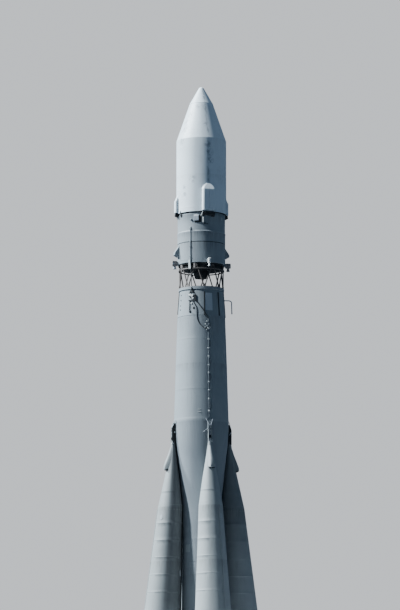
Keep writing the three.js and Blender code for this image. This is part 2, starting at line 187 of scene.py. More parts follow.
def rounded(points, radius, steps=5):
    """Polyline with rounded corners."""
    pts = [Vector(p) for p in points]
    out = [pts[0]]
    for a, b, c in zip(pts, pts[1:], pts[2:]):
        u, v = (a - b), (c - b)
        t = min(radius, u.length * 0.45, v.length * 0.45)
        p0, p1 = b + u.normalized() * t, b + v.normalized() * t
        for k in range(steps + 1):
            s = k / steps
            out.append(p0 * (1 - s) ** 2 + b * 2 * s * (1 - s) + p1 * s * s)
    out.append(pts[-1])
    return [tuple(p) for p in out]


def ball(c, r, seg=16, rings=10, squash=1.0):
    prof = [(r * math.sin(math.pi * k / rings), -r * squash * math.cos(math.pi * k / rings)) for k in range(rings + 1)]
    prof[0] = (0, prof[0][1]); prof[-1] = (0, prof[-1][1])
    v, f = lathe(prof, seg)
    return v + np.array(c), f


def moved(part, d):
    return part[0] + np.array(d), part[1]


def turned(part, az):
    """Local +X (outward) to azimuth az."""
    t = math.radians(az - 90)
    c, s = math.cos(t), math.sin(t)
    v = part[0]
    return np.stack([v[:, 0] * c - v[:, 1] * s, v[:, 0] * s + v[:, 1] * c, v[:, 2]], 1), part[1]


def about_z(part, deg):
    return turned(part, deg + 90)


def P(az, r, z):
    a = math.radians(az)
    return (r * math.sin(a), -r * math.cos(a), z)


def merged(parts):
    verts, faces, off = [], [], 0
    for v, f in parts:
        verts.append(v)
        faces += [tuple(i + off for i in face) for face in f]
        off += len(v)
    return np.concatenate(verts), faces


def make(name, part, material, body="airframe", replaces=(), angle=32, bevel=0, extra=(), tidy=True):
    """Object from one part, or from (part, material) pairs."""
    pairs = part if isinstance(part, list) else [(part, material)]
    mats, verts, faces, index, off = [], [], [], [], 0
    for p, m in pairs:
        if m not in mats:
            mats.append(m)
        verts.append(p[0])
        faces += [tuple(i + off for i in face) for face in p[1]]
        index += [mats.index(m)] * len(p[1])
        off += len(p[0])
    me = bpy.data.meshes.new(name)
    me.from_pydata([tuple(v) for v in np.concatenate(verts)], [], faces)
    me.polygons.foreach_set("material_index", index)
    for m in mats:
        me.materials.append(m)
    me.validate()
    if tidy:
        import bmesh
        bm = bmesh.new()
        bm.from_mesh(me)
        bmesh.ops.recalc_face_normals(bm, faces=bm.faces)
        bm.to_mesh(me)
        bm.free()
    me.polygons.foreach_set("use_smooth", [True] * len(me.polygons))
    me.set_sharp_from_angle(angle=math.radians(angle))
    me.update()
    ob = bpy.data.objects.new(name, me)
    bpy.context.scene.collection.objects.link(ob)
    if bevel:
        mod = ob.modifiers.new("edge", "BEVEL")
        mod.width = bevel
        mod.segments = 3
        mod.limit_method = "ANGLE"
        mod.angle_limit = math.radians(35)
        mod.use_clamp_overlap = True
        mod.harden_normals = True
    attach(ob, body)
    if replaces:
        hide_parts(*replaces)
    return ob


# ------------------------------------------------------------------ materials
class Nodes:
    def __init__(self, name):
        self.mat = bpy.data.materials.new(name)
        self.mat.use_nodes = True
        self.t = self.mat.node_tree
        self.bsdf = self.t.nodes["Principled BSDF"]
        self.coord = self.t.nodes.new("ShaderNodeTexCoord").outputs["Object"]

    def link(self, a, b):
        self.t.links.new(a, b)

    def scaled(self, sx, sy, sz, shift=(0, 0, 0)):
        m = self.t.nodes.new("ShaderNodeMapping")
        m.inputs["Scale"].default_value = (sx, sy, sz)
        m.inputs["Location"].default_value = shift
        self.link(self.coord, m.inputs["Vector"])
        return m.outputs["Vector"]

    def noise(self, vector, scale, detail=5, rough=0.55, distort=0.0):
        n = self.t.nodes.new("ShaderNodeTexNoise")
        n.inputs["Scale"].default_value = scale
        n.inputs["Detail"].default_value = detail
        n.inputs["Roughness"].default_value = rough
        n.inputs["Distortion"].default_value = distort
        self.link(vector, n.inputs["Vector"])
        return n.outputs["Fac"]

    def ramp(self, fac, stops, interp="LINEAR"):
        r = self.t.nodes.new("ShaderNodeValToRGB")
        e = r.color_ramp.elements
        r.color_ramp.interpolation = interp
        while len(e) < len(stops):
            e.new(0.5)
        for i, (p, c) in enumerate(stops):
            e[i].position = p
            e[i].color = (c, c, c, 1) if not isinstance(c, tuple) else (*c, 1)
        self.link(fac, r.inputs["Fac"])
        return r.outputs["Color"]

    def mix(self, fac, a, b, mode="MIX"):
        m = self.t.nodes.new("ShaderNodeMix")
        m.data_type = "RGBA"
        m.blend_type = mode
        for sock, value in ((m.inputs[0], fac), (m.inputs[6], a), (m.inputs[7], b)):
            if hasattr(value, "links"):
                self.link(value, sock)
            elif isinstance(value, tuple):
                sock.default_value = (*value, 1)
            else:
                sock.default_value = value
        return m.outputs[2]

    def math(self, op, a, b=0.0, clamp=False):
        m = self.t.nodes.new("ShaderNodeMath")
        m.operation = op
        m.use_clamp = clamp
        for sock, value in ((m.inputs[0], a), (m.inputs[1], b)):
            if hasattr(value, "links"):
                self.link(value, sock)
            else:
                sock.default_value = value
        return m.outputs[0]

    def z(self):
        s = self.t.nodes.new("ShaderNodeSeparateXYZ")
        self.link(self.coord, s.inputs[0])
        return s.outputs[2]

    def bump(self, height, strength, distance, below=None):
        b = self.t.nodes.new("ShaderNodeBump")
        b.inputs["Strength"].default_value = strength
        b.inputs["Distance"].default_value = distance
        self.link(height, b.inputs["Height"])
        if below is not None:
            self.link(below, b.inputs["Normal"])
        return b.outputs["Normal"]

    def band(self, z, centre, half, soft):
        """1 inside centre +- half, fading over soft."""
        d = self.math("ABSOLUTE", self.math("SUBTRACT", z, centre))
        return self.math("SUBTRACT", 1.0, self.math("DIVIDE", self.math("SUBTRACT", d, half), soft, True), True)

    def below(self, z, edge, reach):
        """1 just below edge, fading out over reach further down, 0 above."""
        d = self.math("SUBTRACT", edge, z)
        up = self.math("GREATER_THAN", d, 0.0)
        return self.math("MULTIPLY", up, self.math("SUBTRACT", 1.0, self.math("DIVIDE", d, reach, True), True), True)


def paint(name, light, dark, stain, rough, seams=(), stain_amount=0.5, streak=0.35, dents=0.012, chips=0.0, metal=0.0, split_run=False, duller=None, cleaner_below=None, lee=None):
    """Weathered paint: patchy tone, runs under each seam, fine peel and shallow dents."""
    n = Nodes(name)
    c = n.coord
    patch = n.noise(c, 0.55, 6, 0.6)
    tone = n.mix(n.ramp(patch, [(0.30, 0.0), (0.70, 1.0)]), light, dark)
    fine = n.noise(c, 7.0, 6, 0.65)
    tone = n.mix(n.ramp(fine, [(0.35, 0.0), (0.75, 0.30)]), tone, dark)
    # rain streaks
    runs = n.noise(n.scaled(9.0, 9.0, 0.33), 1.0, 5, 0.6)
    run_mask = n.math("MULTIPLY", n.ramp(runs, [(0.50, 0.0), (0.72, 1.0)]), n.ramp(n.noise(c, 0.9, 3), [(0.4, 0.0), (0.65, 1.0)]))
    tone = n.mix(n.math("MULTIPLY", run_mask, streak), tone, stain)
    # dirt that washes down from seams
    if seams:
        z = n.z()
        total = None
        for edge, reach in seams:
            b = n.below(z, edge, reach)
            total = b if total is None else n.math("MAXIMUM", total, b)
        drip = n.ramp(n.noise(n.scaled(14.0, 14.0, 0.8, (3, 1, 0)), 1.0, 4, 0.6), [(0.38, 0.0), (0.66, 1.0)])
        tone = n.mix(n.math("MULTIPLY", n.math("MULTIPLY", total, drip), stain_amount), tone, stain)
    spots = n.ramp(n.noise(n.scaled(1, 1, 1, (7, 2, 5)), 3.1, 7, 0.7), [(0.62, 0.0), (0.72, 1.0)])
    tone = n.mix(n.math("MULTIPLY", spots, 0.35 * stain_amount), tone, stain)
    if split_run:
        # dirt that has run along the upright split of the fairing, soot blotches and a few specks
        sep = n.t.nodes.new("ShaderNodeSeparateXYZ")
        n.link(c, sep.inputs[0])
        near = n.math("SUBTRACT", 1.0, n.math("DIVIDE", n.math("ABSOLUTE", sep.outputs[0]), 0.13, True), True)
        up = n.math("MULTIPLY", n.math("GREATER_THAN", sep.outputs[2], 32.9), n.ramp(n.noise(n.scaled(5, 5, 2.2, (0, 3, 1)), 1.0, 5, 0.6), [(0.42, 0.0), (0.60, 1.0)]))
        tone = n.mix(n.math("MULTIPLY", n.math("MULTIPLY", near, up), 0.66), tone, (0.25, 0.28, 0.32))
        broken = n.ramp(n.noise(n.scaled(1, 1, 0.7, (2, 6, 3)), 8.5, 5, 0.68), [(0.44, 0.0), (0.56, 1.0)])
        total = None
        for az, z, reach in FAIRING_SOOT:
            radius = FAIRING_R if z < FAIRING_Z1 else FAIRING_R + (CAP_R - FAIRING_R) * (z - FAIRING_Z1) / (CAP_Z - FAIRING_Z1)
            d = n.t.nodes.new("ShaderNodeVectorMath")
            d.operation = "DISTANCE"
            n.link(c, d.inputs[0])
            d.inputs[1].default_value = P(az, radius, z)
            spot = n.math("SUBTRACT", 1.0, n.math("DIVIDE", d.outputs["Value"], reach, True), True)
            total = spot if total is None else n.math("MAXIMUM", total, spot)
        tone = n.mix(n.math("MULTIPLY", n.math("MULTIPLY", n.math("MULTIPLY", total, 1.6, True), broken), 0.62), tone, (0.29, 0.32, 0.35))
        where = n.ramp(n.noise(n.scaled(1, 1, 1, (9, 1, 7)), 0.95, 2, 0.5), [(0.52, 0.0), (0.64, 1.0)])
        tone = n.mix(n.math("MULTIPLY", n.math("MULTIPLY", broken, where), 0.16), tone, (0.33, 0.36, 0.39))
    if cleaner_below:
        # painted shade that thins out downwards
        z0, z1, gain = cleaner_below
        wavy = n.math("MULTIPLY", n.math("SUBTRACT", n.noise(c, 0.8, 4, 0.6), 0.5), 2.0)
        clean = n.math("SUBTRACT", 1.0, n.math("DIVIDE", n.math("SUBTRACT", n.math("ADD", n.z(), wavy), z0), z1 - z0, True), True)
        tone = n.mix(clean, tone, (gain, gain, gain), "MULTIPLY")
    if lee:
        # upper half of the left booster: duller all round, with painted shade on the side turned to the core and the
        # front booster
        z = n.z()
        sep = n.t.nodes.new("ShaderNodeSeparateXYZ")
        n.link(c, sep.inputs[0])
        centre = n.math("MAXIMUM", n.math("SUBTRACT", 2.153 + 0.0754 * 9.9, n.math("MULTIPLY", z, 0.0754)), n.math("SUBTRACT", 1.712 + 0.045 * 15.75, n.math("MULTIPLY", z, 0.045)))
        radius = n.math("MINIMUM", n.math("SUBTRACT", 0.953 + 0.0557 * 9.9, n.math("MULTIPLY", z, 0.0557)), n.math("SUBTRACT", 0.627 + 0.152 * 15.75, n.math("MULTIPLY", z, 0.152)))
        across = n.math("SUBTRACT", n.math("MULTIPLY", n.math("ADD", sep.outputs[0], centre), 0.956), n.math("MULTIPLY", sep.outputs[1], 0.292))
        across = n.math("DIVIDE", across, radius)
        mask = n.math("DIVIDE", n.math("SUBTRACT", across, -0.14), 0.26, True)
        wavy = n.math("MULTIPLY", n.math("SUBTRACT", n.noise(c, 0.8, 4, 0.6), 0.5), 2.0)
        high = n.math("DIVIDE", n.math("SUBTRACT", n.math("ADD", z, wavy), 8.2), 2.6, True)
        tone = n.mix(high, tone, (lee[0], lee[0], lee[0]), "MULTIPLY")
        tone = n.mix(n.math("MULTIPLY", mask, high), tone, (lee[1], lee[1], lee[1] * 1.03), "MULTIPLY")
    # darker paint below the ridge; the weaker step just above its edge is painted shade that dims the ridge's highlight
    if duller:
        low = n.math("LESS_THAN", n.z(), duller[0])
        edge = n.math("LESS_THAN", n.z(), duller[0] + 0.12)
        tone = n.mix(n.math("ADD", n.math("MULTIPLY", low, duller[2] - 0.09), n.math("MULTIPLY", edge, 0.09)), tone, duller[1])
    if chips:
        ch = n.ramp(n.noise(n.scaled(1, 1, 1, (1, 9, 4)), 11.0, 8, 0.75), [(0.67, 0.0), (0.69, 1.0)])
        tone = n.mix(n.math("MULTIPLY", ch, chips), tone, (0.20, 0.12, 0.075))
    n.link(tone, n.bsdf.inputs["Base Color"])
    r = n.math("ADD", n.math("MULTIPLY", fine, 0.22), rough - 0.11)
    r = n.math("ADD", r, n.math("MULTIPLY", run_mask, 0.12), True)
    n.link(r, n.bsdf.inputs["Roughness"])
    n.bsdf.inputs["Metallic"].default_value = metal
    n.bsdf.inputs["Specular IOR Level"].default_value = 0.35
    wide = n.bump(n.noise(c, 1.3, 3, 0.5), 0.55, dents)
    mid = n.bump(n.noise(n.scaled(3, 3, 1.2, (2, 2, 2)), 1.0, 4, 0.5), 0.35, dents * 0.6, wide)
    peel = n.bump(n.noise(c, 60.0, 3, 0.6), 0.12, 0.002, mid)
    n.link(peel, n.bsdf.inputs["Normal"])
    return n.mat


def bare_metal(name, light, dark, heat=None, rough=0.45, metal=0.85, z_heat=None):
    """Dull worked metal with brush marks, soot and an optional heat tint."""
    n = Nodes(name)
    c = n.coord
    base = n.mix(n.ramp(n.noise(c, 3.0, 6, 0.65), [(0.3, 0.0), (0.72, 1.0)]), light, dark)
    soot = n.ramp(n.noise(n.scaled(1, 1, 1, (4, 4, 1)), 6.0, 7, 0.7), [(0.48, 0.0), (0.70, 1.0)])
    base = n.mix(n.math("MULTIPLY", soot, 0.6), base, (0.035, 0.032, 0.030))
    if heat:
        z = n.z()
        h = n.band(z, *z_heat)
        base = n.mix(n.math("MULTIPLY", h, 0.7), base, heat)
    n.link(base, n.bsdf.inputs["Base Color"])
    n.link(n.math("ADD", n.math("MULTIPLY", soot, 0.3), rough, True), n.bsdf.inputs["Roughness"])
    n.bsdf.inputs["Metallic"].default_value = metal
    brush = n.bump(n.noise(n.scaled(40, 40, 3), 1.0, 4, 0.6), 0.18, 0.002)
    n.link(n.bump(n.noise(c, 25.0, 5, 0.6), 0.2, 0.002, brush), n.bsdf.inputs["Normal"])
    return n.mat


M = {
    "core": paint("grey_paint_core", (0.300, 0.328, 0.348), (0.262, 0.290, 0.311), (0.150, 0.157, 0.156), 0.52, [(25.79, 1.2), (27.09, 0.8), (20.20, 1.8), (23.3, 0.5), (12.6, 1.2), (3.0, 0.9)], duller=(20.235, (0.215, 0.240, 0.268), 0.42)),
    "booster": paint("grey_paint_booster", (0.378, 0.400, 0.404), (0.318, 0.342, 0.348), (0.17, 0.17, 0.155), 0.54, [(15.75, 1.0), (9.9, 1.1), (3.2, 0.9), (12.9, 0.5), (6.5, 0.5)], chips=0.25),
    # left booster: the booster grey with painted shade on the side turned to the core and the front booster
    "lee": paint("grey_paint_booster_left", (0.378, 0.400, 0.404), (0.318, 0.342, 0.348), (0.17, 0.17, 0.155), 0.54, [(15.75, 1.0), (9.9, 1.1), (3.2, 0.9), (12.9, 0.5), (6.5, 0.5)], chips=0.25, lee=(0.84, 0.42)),
    "stage": paint("grey_paint_third_stage", (0.308, 0.339, 0.362), (0.270, 0.300, 0.323), (0.145, 0.150, 0.150), 0.50, [(31.3, 0.5), (30.28, 0.45), (29.74, 0.6)], stain_amount=0.6),
    "white": paint("white_paint_fairing", (0.812, 0.878, 0.925), (0.745, 0.815, 0.868), (0.42, 0.41, 0.37), 0.44, [(37.27, 0.5), (35.36, 0.9), (33.4, 0.4)], stain_amount=0.22, streak=0.13, dents=0.008, split_run=True),
    "trim": paint("grey_paint_trim", (0.40, 0.43, 0.445), (0.32, 0.345, 0.36), (0.17, 0.17, 0.16), 0.5, dents=0.002, chips=0.3),
    "pale": paint("pale_paint_trim", (0.72, 0.73, 0.71), (0.60, 0.61, 0.60), (0.30, 0.28, 0.25), 0.45, dents=0.002, chips=0.2),
    "truss": paint("truss_paint", (0.165, 0.138, 0.126), (0.105, 0.090, 0.084), (0.060, 0.042, 0.032), 0.60, dents=0.001, chips=0.5),
    "seam": paint("seam_shadow", (0.085, 0.095, 0.105), (0.055, 0.060, 0.068), (0.03, 0.03, 0.03), 0.7, dents=0.001),
    # dark paint for dark parts, also used as painted shade on gap fillers and shaded lugs
    "dark": paint("dark_coating", (0.034, 0.037, 0.040), (0.022, 0.024, 0.026), (0.050, 0.047, 0.042), 0.66, dents=0.003),
    "black": paint("cable_sheath", (0.034, 0.036, 0.040), (0.022, 0.023, 0.026), (0.07, 0.065, 0.06), 0.6, dents=0.001),
    "edge": paint("grey_paint_edges", (0.215, 0.238, 0.255), (0.165, 0.185, 0.200), (0.09, 0.09, 0.09), 0.55, dents=0.001),
    "hatch": paint("grey_blue_paint_hatch", (0.590, 0.620, 0.640), (0.540, 0.570, 0.600), (0.32, 0.34, 0.37), 0.5, dents=0.001),
    "tarnish": paint("tarnished_paint", (0.36, 0.315, 0.30), (0.27, 0.24, 0.225), (0.14, 0.11, 0.09), 0.5, dents=0.001, chips=0.4),
    "mid": paint("light_grey_paint_trim", (0.47, 0.50, 0.54), (0.39, 0.42, 0.46), (0.22, 0.22, 0.21), 0.5, dents=0.002, chips=0.2),
    # upper half of the right booster: darker paint that is painted shade, lifting towards its lower end
    "shade": paint("grey_paint_booster_sooty", (0.235, 0.250, 0.256), (0.185, 0.198, 0.204), (0.095, 0.095, 0.088), 0.56, [(15.75, 1.0), (9.9, 1.1), (3.2, 0.9)], chips=0.3, cleaner_below=(10.6, 15.2, 1.62)),
    "inner": paint("primer_inside", (0.46, 0.47, 0.40), (0.38, 0.40, 0.34), (0.22, 0.21, 0.17), 0.6, dents=0.004),
    "bell": bare_metal("nozzle_steel", (0.42, 0.36, 0.31), (0.22, 0.20, 0.19), (0.30, 0.17, 0.10), 0.38, 0.85, (0.30, 0.05, 0.35)),
    "bell_in": bare_metal("nozzle_inside", (0.24, 0.17, 0.13), (0.10, 0.08, 0.07), None, 0.55, 0.6),
    "steel": bare_metal("worked_steel", (0.44, 0.44, 0.43), (0.27, 0.27, 0.27), None, 0.40, 0.8),
}


# ------------------------------------------------------------------ core
def groove(rows, z, width=0.020, depth=0.012, radius=None):
    """Cuts a narrow seam into (r, z) rows."""
    r = radius(z) if radius else float(np.interp(z, [q[1] for q in rows], [q[0] for q in rows]))
    keep = [q for q in rows if abs(q[1] - z) > width]
    keep += [(r, z - width / 2), (r - depth, z - width / 2 + 0.002), (r - depth, z + width / 2 - 0.002), (r, z + width / 2)]
    return sorted(keep, key=lambda q: q[1])


def welded(rows, z, radius, half=0.016, proud=0.0014):
    """Adds a low rounded weld bead to (r, z) rows."""
    r = radius(z)
    keep = [q for q in rows if abs(q[1] - z) > half * 1.4]
    for k in range(7):
        t = -1 + k / 3
        keep.append((r + proud * math.cos(t * math.pi / 2), z + t * half))
    return sorted(keep, key=lambda q: q[1])


def core_rows(z0, z1, step=0.25):
    return [(r, z) for z, r in smooth_table(CORE, z0, z1, step)]


def core_lathe(z0, z1, beads=(), grooves=(), extra=None):
    rows = core_rows(z0, z1)
    for z in beads:
        rows = welded(rows, z, core_r)
    for z in grooves:
        rows = groove(rows, z, 0.018, 0.012, core_r)
    if extra:
        rows = extra(rows)
    return lathe([(0, z0)] + rows + [(0, z1)], 160)


def seam_fill(r, z0, z1, depth=0.011, seg=160):
    """Dark lining that lies in a groove, just below its lips."""
    return lathe([(r - depth - 0.01, z0), (r - depth + 0.0012, z0), (r - depth + 0.0012, z1), (r - depth - 0.01, z1)], seg, True)


make("core_tail_section_skin", core_lathe(TAIL_Z0, CORE_TAIL_Z1 - GAP, beads=(1.5, 2.2)), M["core"], replaces=["core_tail_section"])
make("core_fuel_tank_skin", core_lathe(CORE_TAIL_Z1, CORE_SPLIT_Z - GAP, beads=(4.2, 5.9, 7.6, 9.3, 11.0), grooves=(12.2,)), M["core"], replaces=["core_fuel_tank"])


def ridge(rows):
    keep = [q for q in rows if not (RIDGE_Z - 0.135 < q[1] < RIDGE_Z + 0.17)]
    keep += [(1.4385, RIDGE_Z - 0.130), (1.4402, RIDGE_Z - 0.100), (1.4436, RIDGE_Z - 0.064), (1.4446, RIDGE_Z - 0.030), (1.4438, RIDGE_Z + 0.010), (1.4415, RIDGE_Z + 0.045), (1.4385, RIDGE_Z + 0.080)]
    keep += [(core_r(RIDGE_Z + d) + 0.0004, RIDGE_Z + d) for d in (0.115, 0.130, 0.165)]
    return sorted(keep, key=lambda q: q[1])


parts = [(core_lathe(CORE_SPLIT_Z, BAY_Z0 - GAP, beads=(14.1, 15.5, 21.95, 24.6), grooves=(12.9,), extra=ridge), M["core"])]
for _, az in SIDES:
    # lugs at the booster tips: the left and right ones take dark paint as painted shade, the front and back ones grey
    parts.append((turned(prism([(1.40, 19.760), (1.628, 19.760), (1.640, 19.772), (1.640, 19.896), (1.534, 20.192), (1.522, 20.200), (1.40, 20.2)], -0.098, 0.098), az), M["edge"] if az in (0, 180) else M["dark"]))
    for z, r, h in ((19.84, 1.640, 0.034), (20.06, 1.584, 0.030)):
        v, f = lathe([(0, 0), (h, 0), (h, 0.006), (h * 0.8, 0.010), (0, 0.010)], 16)
        parts.append((turned((np.stack([v[:, 2] + r, v[:, 0] + 0.02, v[:, 1] + z], 1), f), az), M["trim"]))
make("core_oxidizer_tank_skin", parts, None, replaces=["core_oxidizer_tank"])

# equipment bay: shell, overhanging flange, vent pipe, stringers, rivets
bay_rows = [q for q in core_rows(BAY_Z0, FLANGE_Z - 0.01, 0.12)]
bay_rows = groove(bay_rows, BAY_Z0 + 0.030, 0.022, 0.014, core_r)
top = [(core_r(FLANGE_Z) + 0.001, FLANGE_Z - 0.002), (FLANGE_R - 0.008, FLANGE_Z), (FLANGE_R, FLANGE_Z + 0.008), (FLANGE_R, CORE_TOP_Z - 0.010), (FLANGE_R - 0.010, CORE_TOP_Z), (1.06, CORE_TOP_Z), (0, CORE_TOP_Z)]
pipe = rounded([(core_r(26.8) - 0.010, 0, 26.80), (1.500, 0, 26.80), (1.612, 0, 26.74), (1.618, 0, 26.40), (1.628, 0, 26.09)], 0.14, 8)
v, f = lathe([(0, 0), (0.060, 0), (0.060, 0.014), (0.052, 0.020), (0, 0.020)], 24)
fl = (np.stack([v[:, 2] + core_r(26.8) - 0.004, v[:, 0], v[:, 1] + 26.80], 1), f)
tip = lathe([(0.018, 26.08), (0.033, 26.08), (0.033, 26.16), (0.030, 26.165), (0.018, 26.165)], 24, True)
bay = [(lathe([(0, BAY_Z0)] + bay_rows + top, 160), M["core"]), (turned(merged([sweep(pipe, 0.030, 16), fl, moved(tip, (1.628, 0, 0))]), 80), M["mid"])]
make("core_equipment_bay_skin", bay, None, replaces=["core_equipment_bay"])


def on_core(az, z, lift=0.0):
    return P(az, core_r(z) + lift, z)


strips = []
for az, z0, z1 in ((-98.5, 26.00, 27.225), (-46.5, 26.10, 26.64), (-9.2, 25.82, 27.10), (31.7, 25.84, 27.12), (72, 25.84, 27.225), (112, 25.84, 27.225), (152, 25.84, 27.10), (-168, 25.84, 27.10), (-130, 25.84, 27.225)):
    rows = [(core_r(z) - 0.004, z) for z in (z0, z1)] + [(core_r(z) + 0.034, z) for z in (z1 - 0.02, z0 + 0.02)]
    strips.append(turned(prism(rows, -0.024, 0.024), az))
strips.append(turned(prism([(core_r(26.1), 25.98), (core_r(26.1) + 0.05, 25.99), (core_r(26.1) + 0.05, 26.08), (core_r(26.1), 26.09)], -0.045, 0.045), -45.5))
make("bay_stringers", [(q, M["dark"] if k in (0, 1, 2, 3, 9) else M["edge"]) for k, q in enumerate(strips)], None, bevel=0.004)

rivets = []
for az0 in (-46.5, 72, 112, 152, -168, -130):
    for az in (az0 - 4, az0 + 4):
        for i in range(8):
            rivets.append(ball(on_core(az, 25.98 + i * 0.13, 0.001), 0.007, 8, 4, 1.0))
for z in (27.31, 25.86):
    for k in range(96):
        az = k * 3.75 + 1.2
        r = FLANGE_R + 0.001 if z > 27.1 else core_r(z) + 0.001
        rivets.append(ball(P(az, r, z), 0.007, 8, 4))
for z in (26.98, 26.71, 26.42, 26.20):
    rivets.append(ball(on_core(-80.0, z, 0.006), 0.034, 10, 6))
make("bay_rivets", merged(rivets), M["edge"])

# hatches and small marks on the bay and core; the front hatch's light blue-grey paint is partly its own colour and
# partly a painted sky reflection
patches = []
for az, z, w, h in ((2.6, 26.56, 0.39, 0.94), (92, 26.45, 0.30, 0.42), (176, 26.5, 0.34, 0.40), (-125, 26.4, 0.30, 0.46), (115, 24.2, 0.26, 0.30), (-60, 13.6, 0.3, 0.4)):
    r = core_r(z)
    n = 7
    inner, outer = [], []
    half = math.degrees(w / 2 / r)
    vs, fs = [], []
    for i in range(n):
        for zz, rr in ((z - h / 2, 0.001), (z - h / 2, 0.008), (z + h / 2, 0.008), (z + h / 2, 0.001)):
            vs.append(P(az - half + 2 * half * i / (n - 1), core_r(zz) + rr, zz))
    for i in range(n - 1):
        for j in range(4):
            k2 = (j + 1) % 4
            fs.append((i * 4 + j, i * 4 + k2, (i + 1) * 4 + k2, (i + 1) * 4 + j))
    fs += [(0, 1, 2, 3), ((n - 1) * 4 + 3, (n - 1) * 4 + 2, (n - 1) * 4 + 1, (n - 1) * 4)]
    patches.append((np.array(vs), fs))
make("access_covers", [(q, M["hatch"] if k == 0 else M["trim"]) for k, q in enumerate(patches)], None, bevel=0.003)

# bracket, clamps, hose and pipe at the left front of the bay
def bay_box(az, z0, z1, half, depth, lift=0.0):
    """Small box that follows the bay's slope."""
    return turned(prism([(core_r(z0) - 0.004 + lift, z0), (core_r(z0) + depth, z0), (core_r(z1) + depth, z1), (core_r(z1) - 0.004 + lift, z1)], -half, half), az)


small_dark = [
    sweep([on_core(-41.2, 27.33, 0.075), on_core(-41.4, 27.20, 0.070), on_core(-49.0, 26.98, 0.012)], 0.034, 8), sweep([on_core(-41.4, 27.20, 0.070), on_core(-34.9, 27.03, 0.012)], 0.034, 8),
    sweep([on_core(-46.2, 27.09, 0.05), on_core(-37.0, 27.09, 0.05)], 0.026, 8),
    bay_box(-34.6, 26.87, 26.93, 0.075, 0.080), bay_box(-32.0, 26.60, 26.94, 0.032, 0.070),
    bay_box(-43.0, 26.605, 26.650, 0.150, 0.045), bay_box(-41.8, 26.78, 26.86, 0.055, 0.05),
]
make("bay_brackets", merged(small_dark), M["dark"], bevel=0.003)
small_pale = [bay_box(-45.0, 26.875, 26.970, 0.070, 0.110), bay_box(-39.2, 26.850, 26.930, 0.058, 0.100), bay_box(-41.5, 26.435, 26.500, 0.032, 0.05), bay_box(-38.0, 26.70, 26.77, 0.040, 0.09),
              sweep([on_core(-43.6, 26.88, 0.10), on_core(-35.0, 26.72, 0.08)], 0.026, 10)]
make("bay_junction_boxes", merged(small_pale), M["pale"], bevel=0.010)
hose = [on_core(az, z, lift) for az, z, lift in ((-48.9, 26.86, 0.03), (-38.1, 26.61, 0.045), (-29.6, 26.30, 0.04), (-27.6, 26.13, 0.03), (-27.4, 25.90, 0.024), (-26.8, 25.66, 0.024),
                                                (-22.4, 25.40, 0.024), (-15.5, 25.24, 0.024), (-9.5, 25.14, 0.024), (-3.2, 25.12, 0.024))]
make("bay_hose", sweep(rounded(hose, 0.12, 4), 0.018, 10), M["black"])
diag = [on_core(-31.0, 26.66, 0.05), on_core(-19.4, 26.31, 0.034), on_core(-9.4, 26.02, 0.034), on_core(0.6, 25.63, 0.05)]
make("bay_pipe", sweep(rounded(diag, 0.1, 4), 0.020, 10), M["black"])
v, f = lathe([(0.0, 0), (0.056, 0), (0.056, 0.014), (0.042, 0.018), (0.038, 0.006), (0, 0.006)], 20)
v = np.stack([v[:, 2] + core_r(26.21) - 0.001, v[:, 0], v[:, 1] * 1.25 + 26.21], 1)
make("bay_port", turned((v, f), -35.3), M["black"])

# raceway on the core with its beads, saddles and cable loops
zs = [20.42] + [20.6 + 0.3 * i for i in range(17)] + [25.70]
run = [(core_r(z) + 0.002, z) for z in zs] + [(core_r(z) + 0.044, z) for z in reversed(zs)]
make("core_cable_raceway_cover", turned(prism(run, -0.020, 0.020), 0), M["edge"], replaces=["core_cable_raceway"], bevel=0.008)
beads = []
for z in (25.13, 24.55, 24.07, 23.63, 23.17, 22.76, 22.27, 21.84, 21.37, 20.74):
    beads.append(turned(prism([(core_r(z) + 0.001, z - 0.036), (core_r(z) + 0.062, z - 0.032), (core_r(z) + 0.062, z + 0.032), (core_r(z) + 0.001, z + 0.036)], -0.042, 0.042), 0))
make("raceway_saddles", merged(beads), M["pale"], bevel=0.012)
loops = []
for k, (z, side) in enumerate(((25.32, 1), (24.30, 1), (22.52, 1), (20.95, 1), (23.4, 1))):
    pts = []
    for i in range(13):
        t = math.pi * i / 12
        az = side * (2.0 + 3.4 * math.sin(t))
        pts.append(on_core(az, z + 0.16 * math.cos(t), 0.014 + 0.01 * math.sin(t)))
    loops.append(sweep(pts, 0.010, 8))
make("raceway_cable_loops", merged(loops), M["edge"])
cluster = [bay_box(az, z, z + h, w, 0.05) for az, z, h, w in ((-6.4, 25.30, 0.06, 0.030), (-2.4, 25.20, 0.07, 0.034), (-7.6, 25.14, 0.05, 0.026), (1.6, 25.33, 0.06, 0.030), (3.4, 25.16, 0.05, 0.026), (-3.0, 25.46, 0.05, 0.030), (0.6, 25.05, 0.05, 0.030), (-4.6, 25.02, 0.04, 0.022))]
make("raceway_head_boxes", merged(cluster), M["pale"], bevel=0.012)
rungs = [turned(prism([(core_r(z) + 0.001, z - 0.008), (core_r(z) + 0.02, z - 0.008), (core_r(z) + 0.02, z + 0.008), (core_r(z) + 0.001, z + 0.008)], -0.085, 0.085), -20.8) for z in (20.82, 20.68)]
make("core_steps", merged(rungs), M["pale"], bevel=0.003)

# lower strut band
band = [(lathe([(1.0253, 2.560), (1.056, 2.560), (1.062, 2.568), (1.062, 2.712), (1.056, 2.720), (1.0253, 2.720)], 128, True), M["trim"])]
for _, az in SIDES:
    for s in (-1, 1):
        band.append((turned(sweep([(1.050, s * 0.120, 2.64), (1.312, s * 0.228, 2.64)], 0.040, 16), az), M["steel"]))
        band.append((turned(moved(ball((0, 0, 0), 0.058, 16, 10), (1.075, s * 0.130, 2.64)), az), M["steel"]))
make("core_lower_struts_detail", band, None, replaces=["core_lower_struts"])


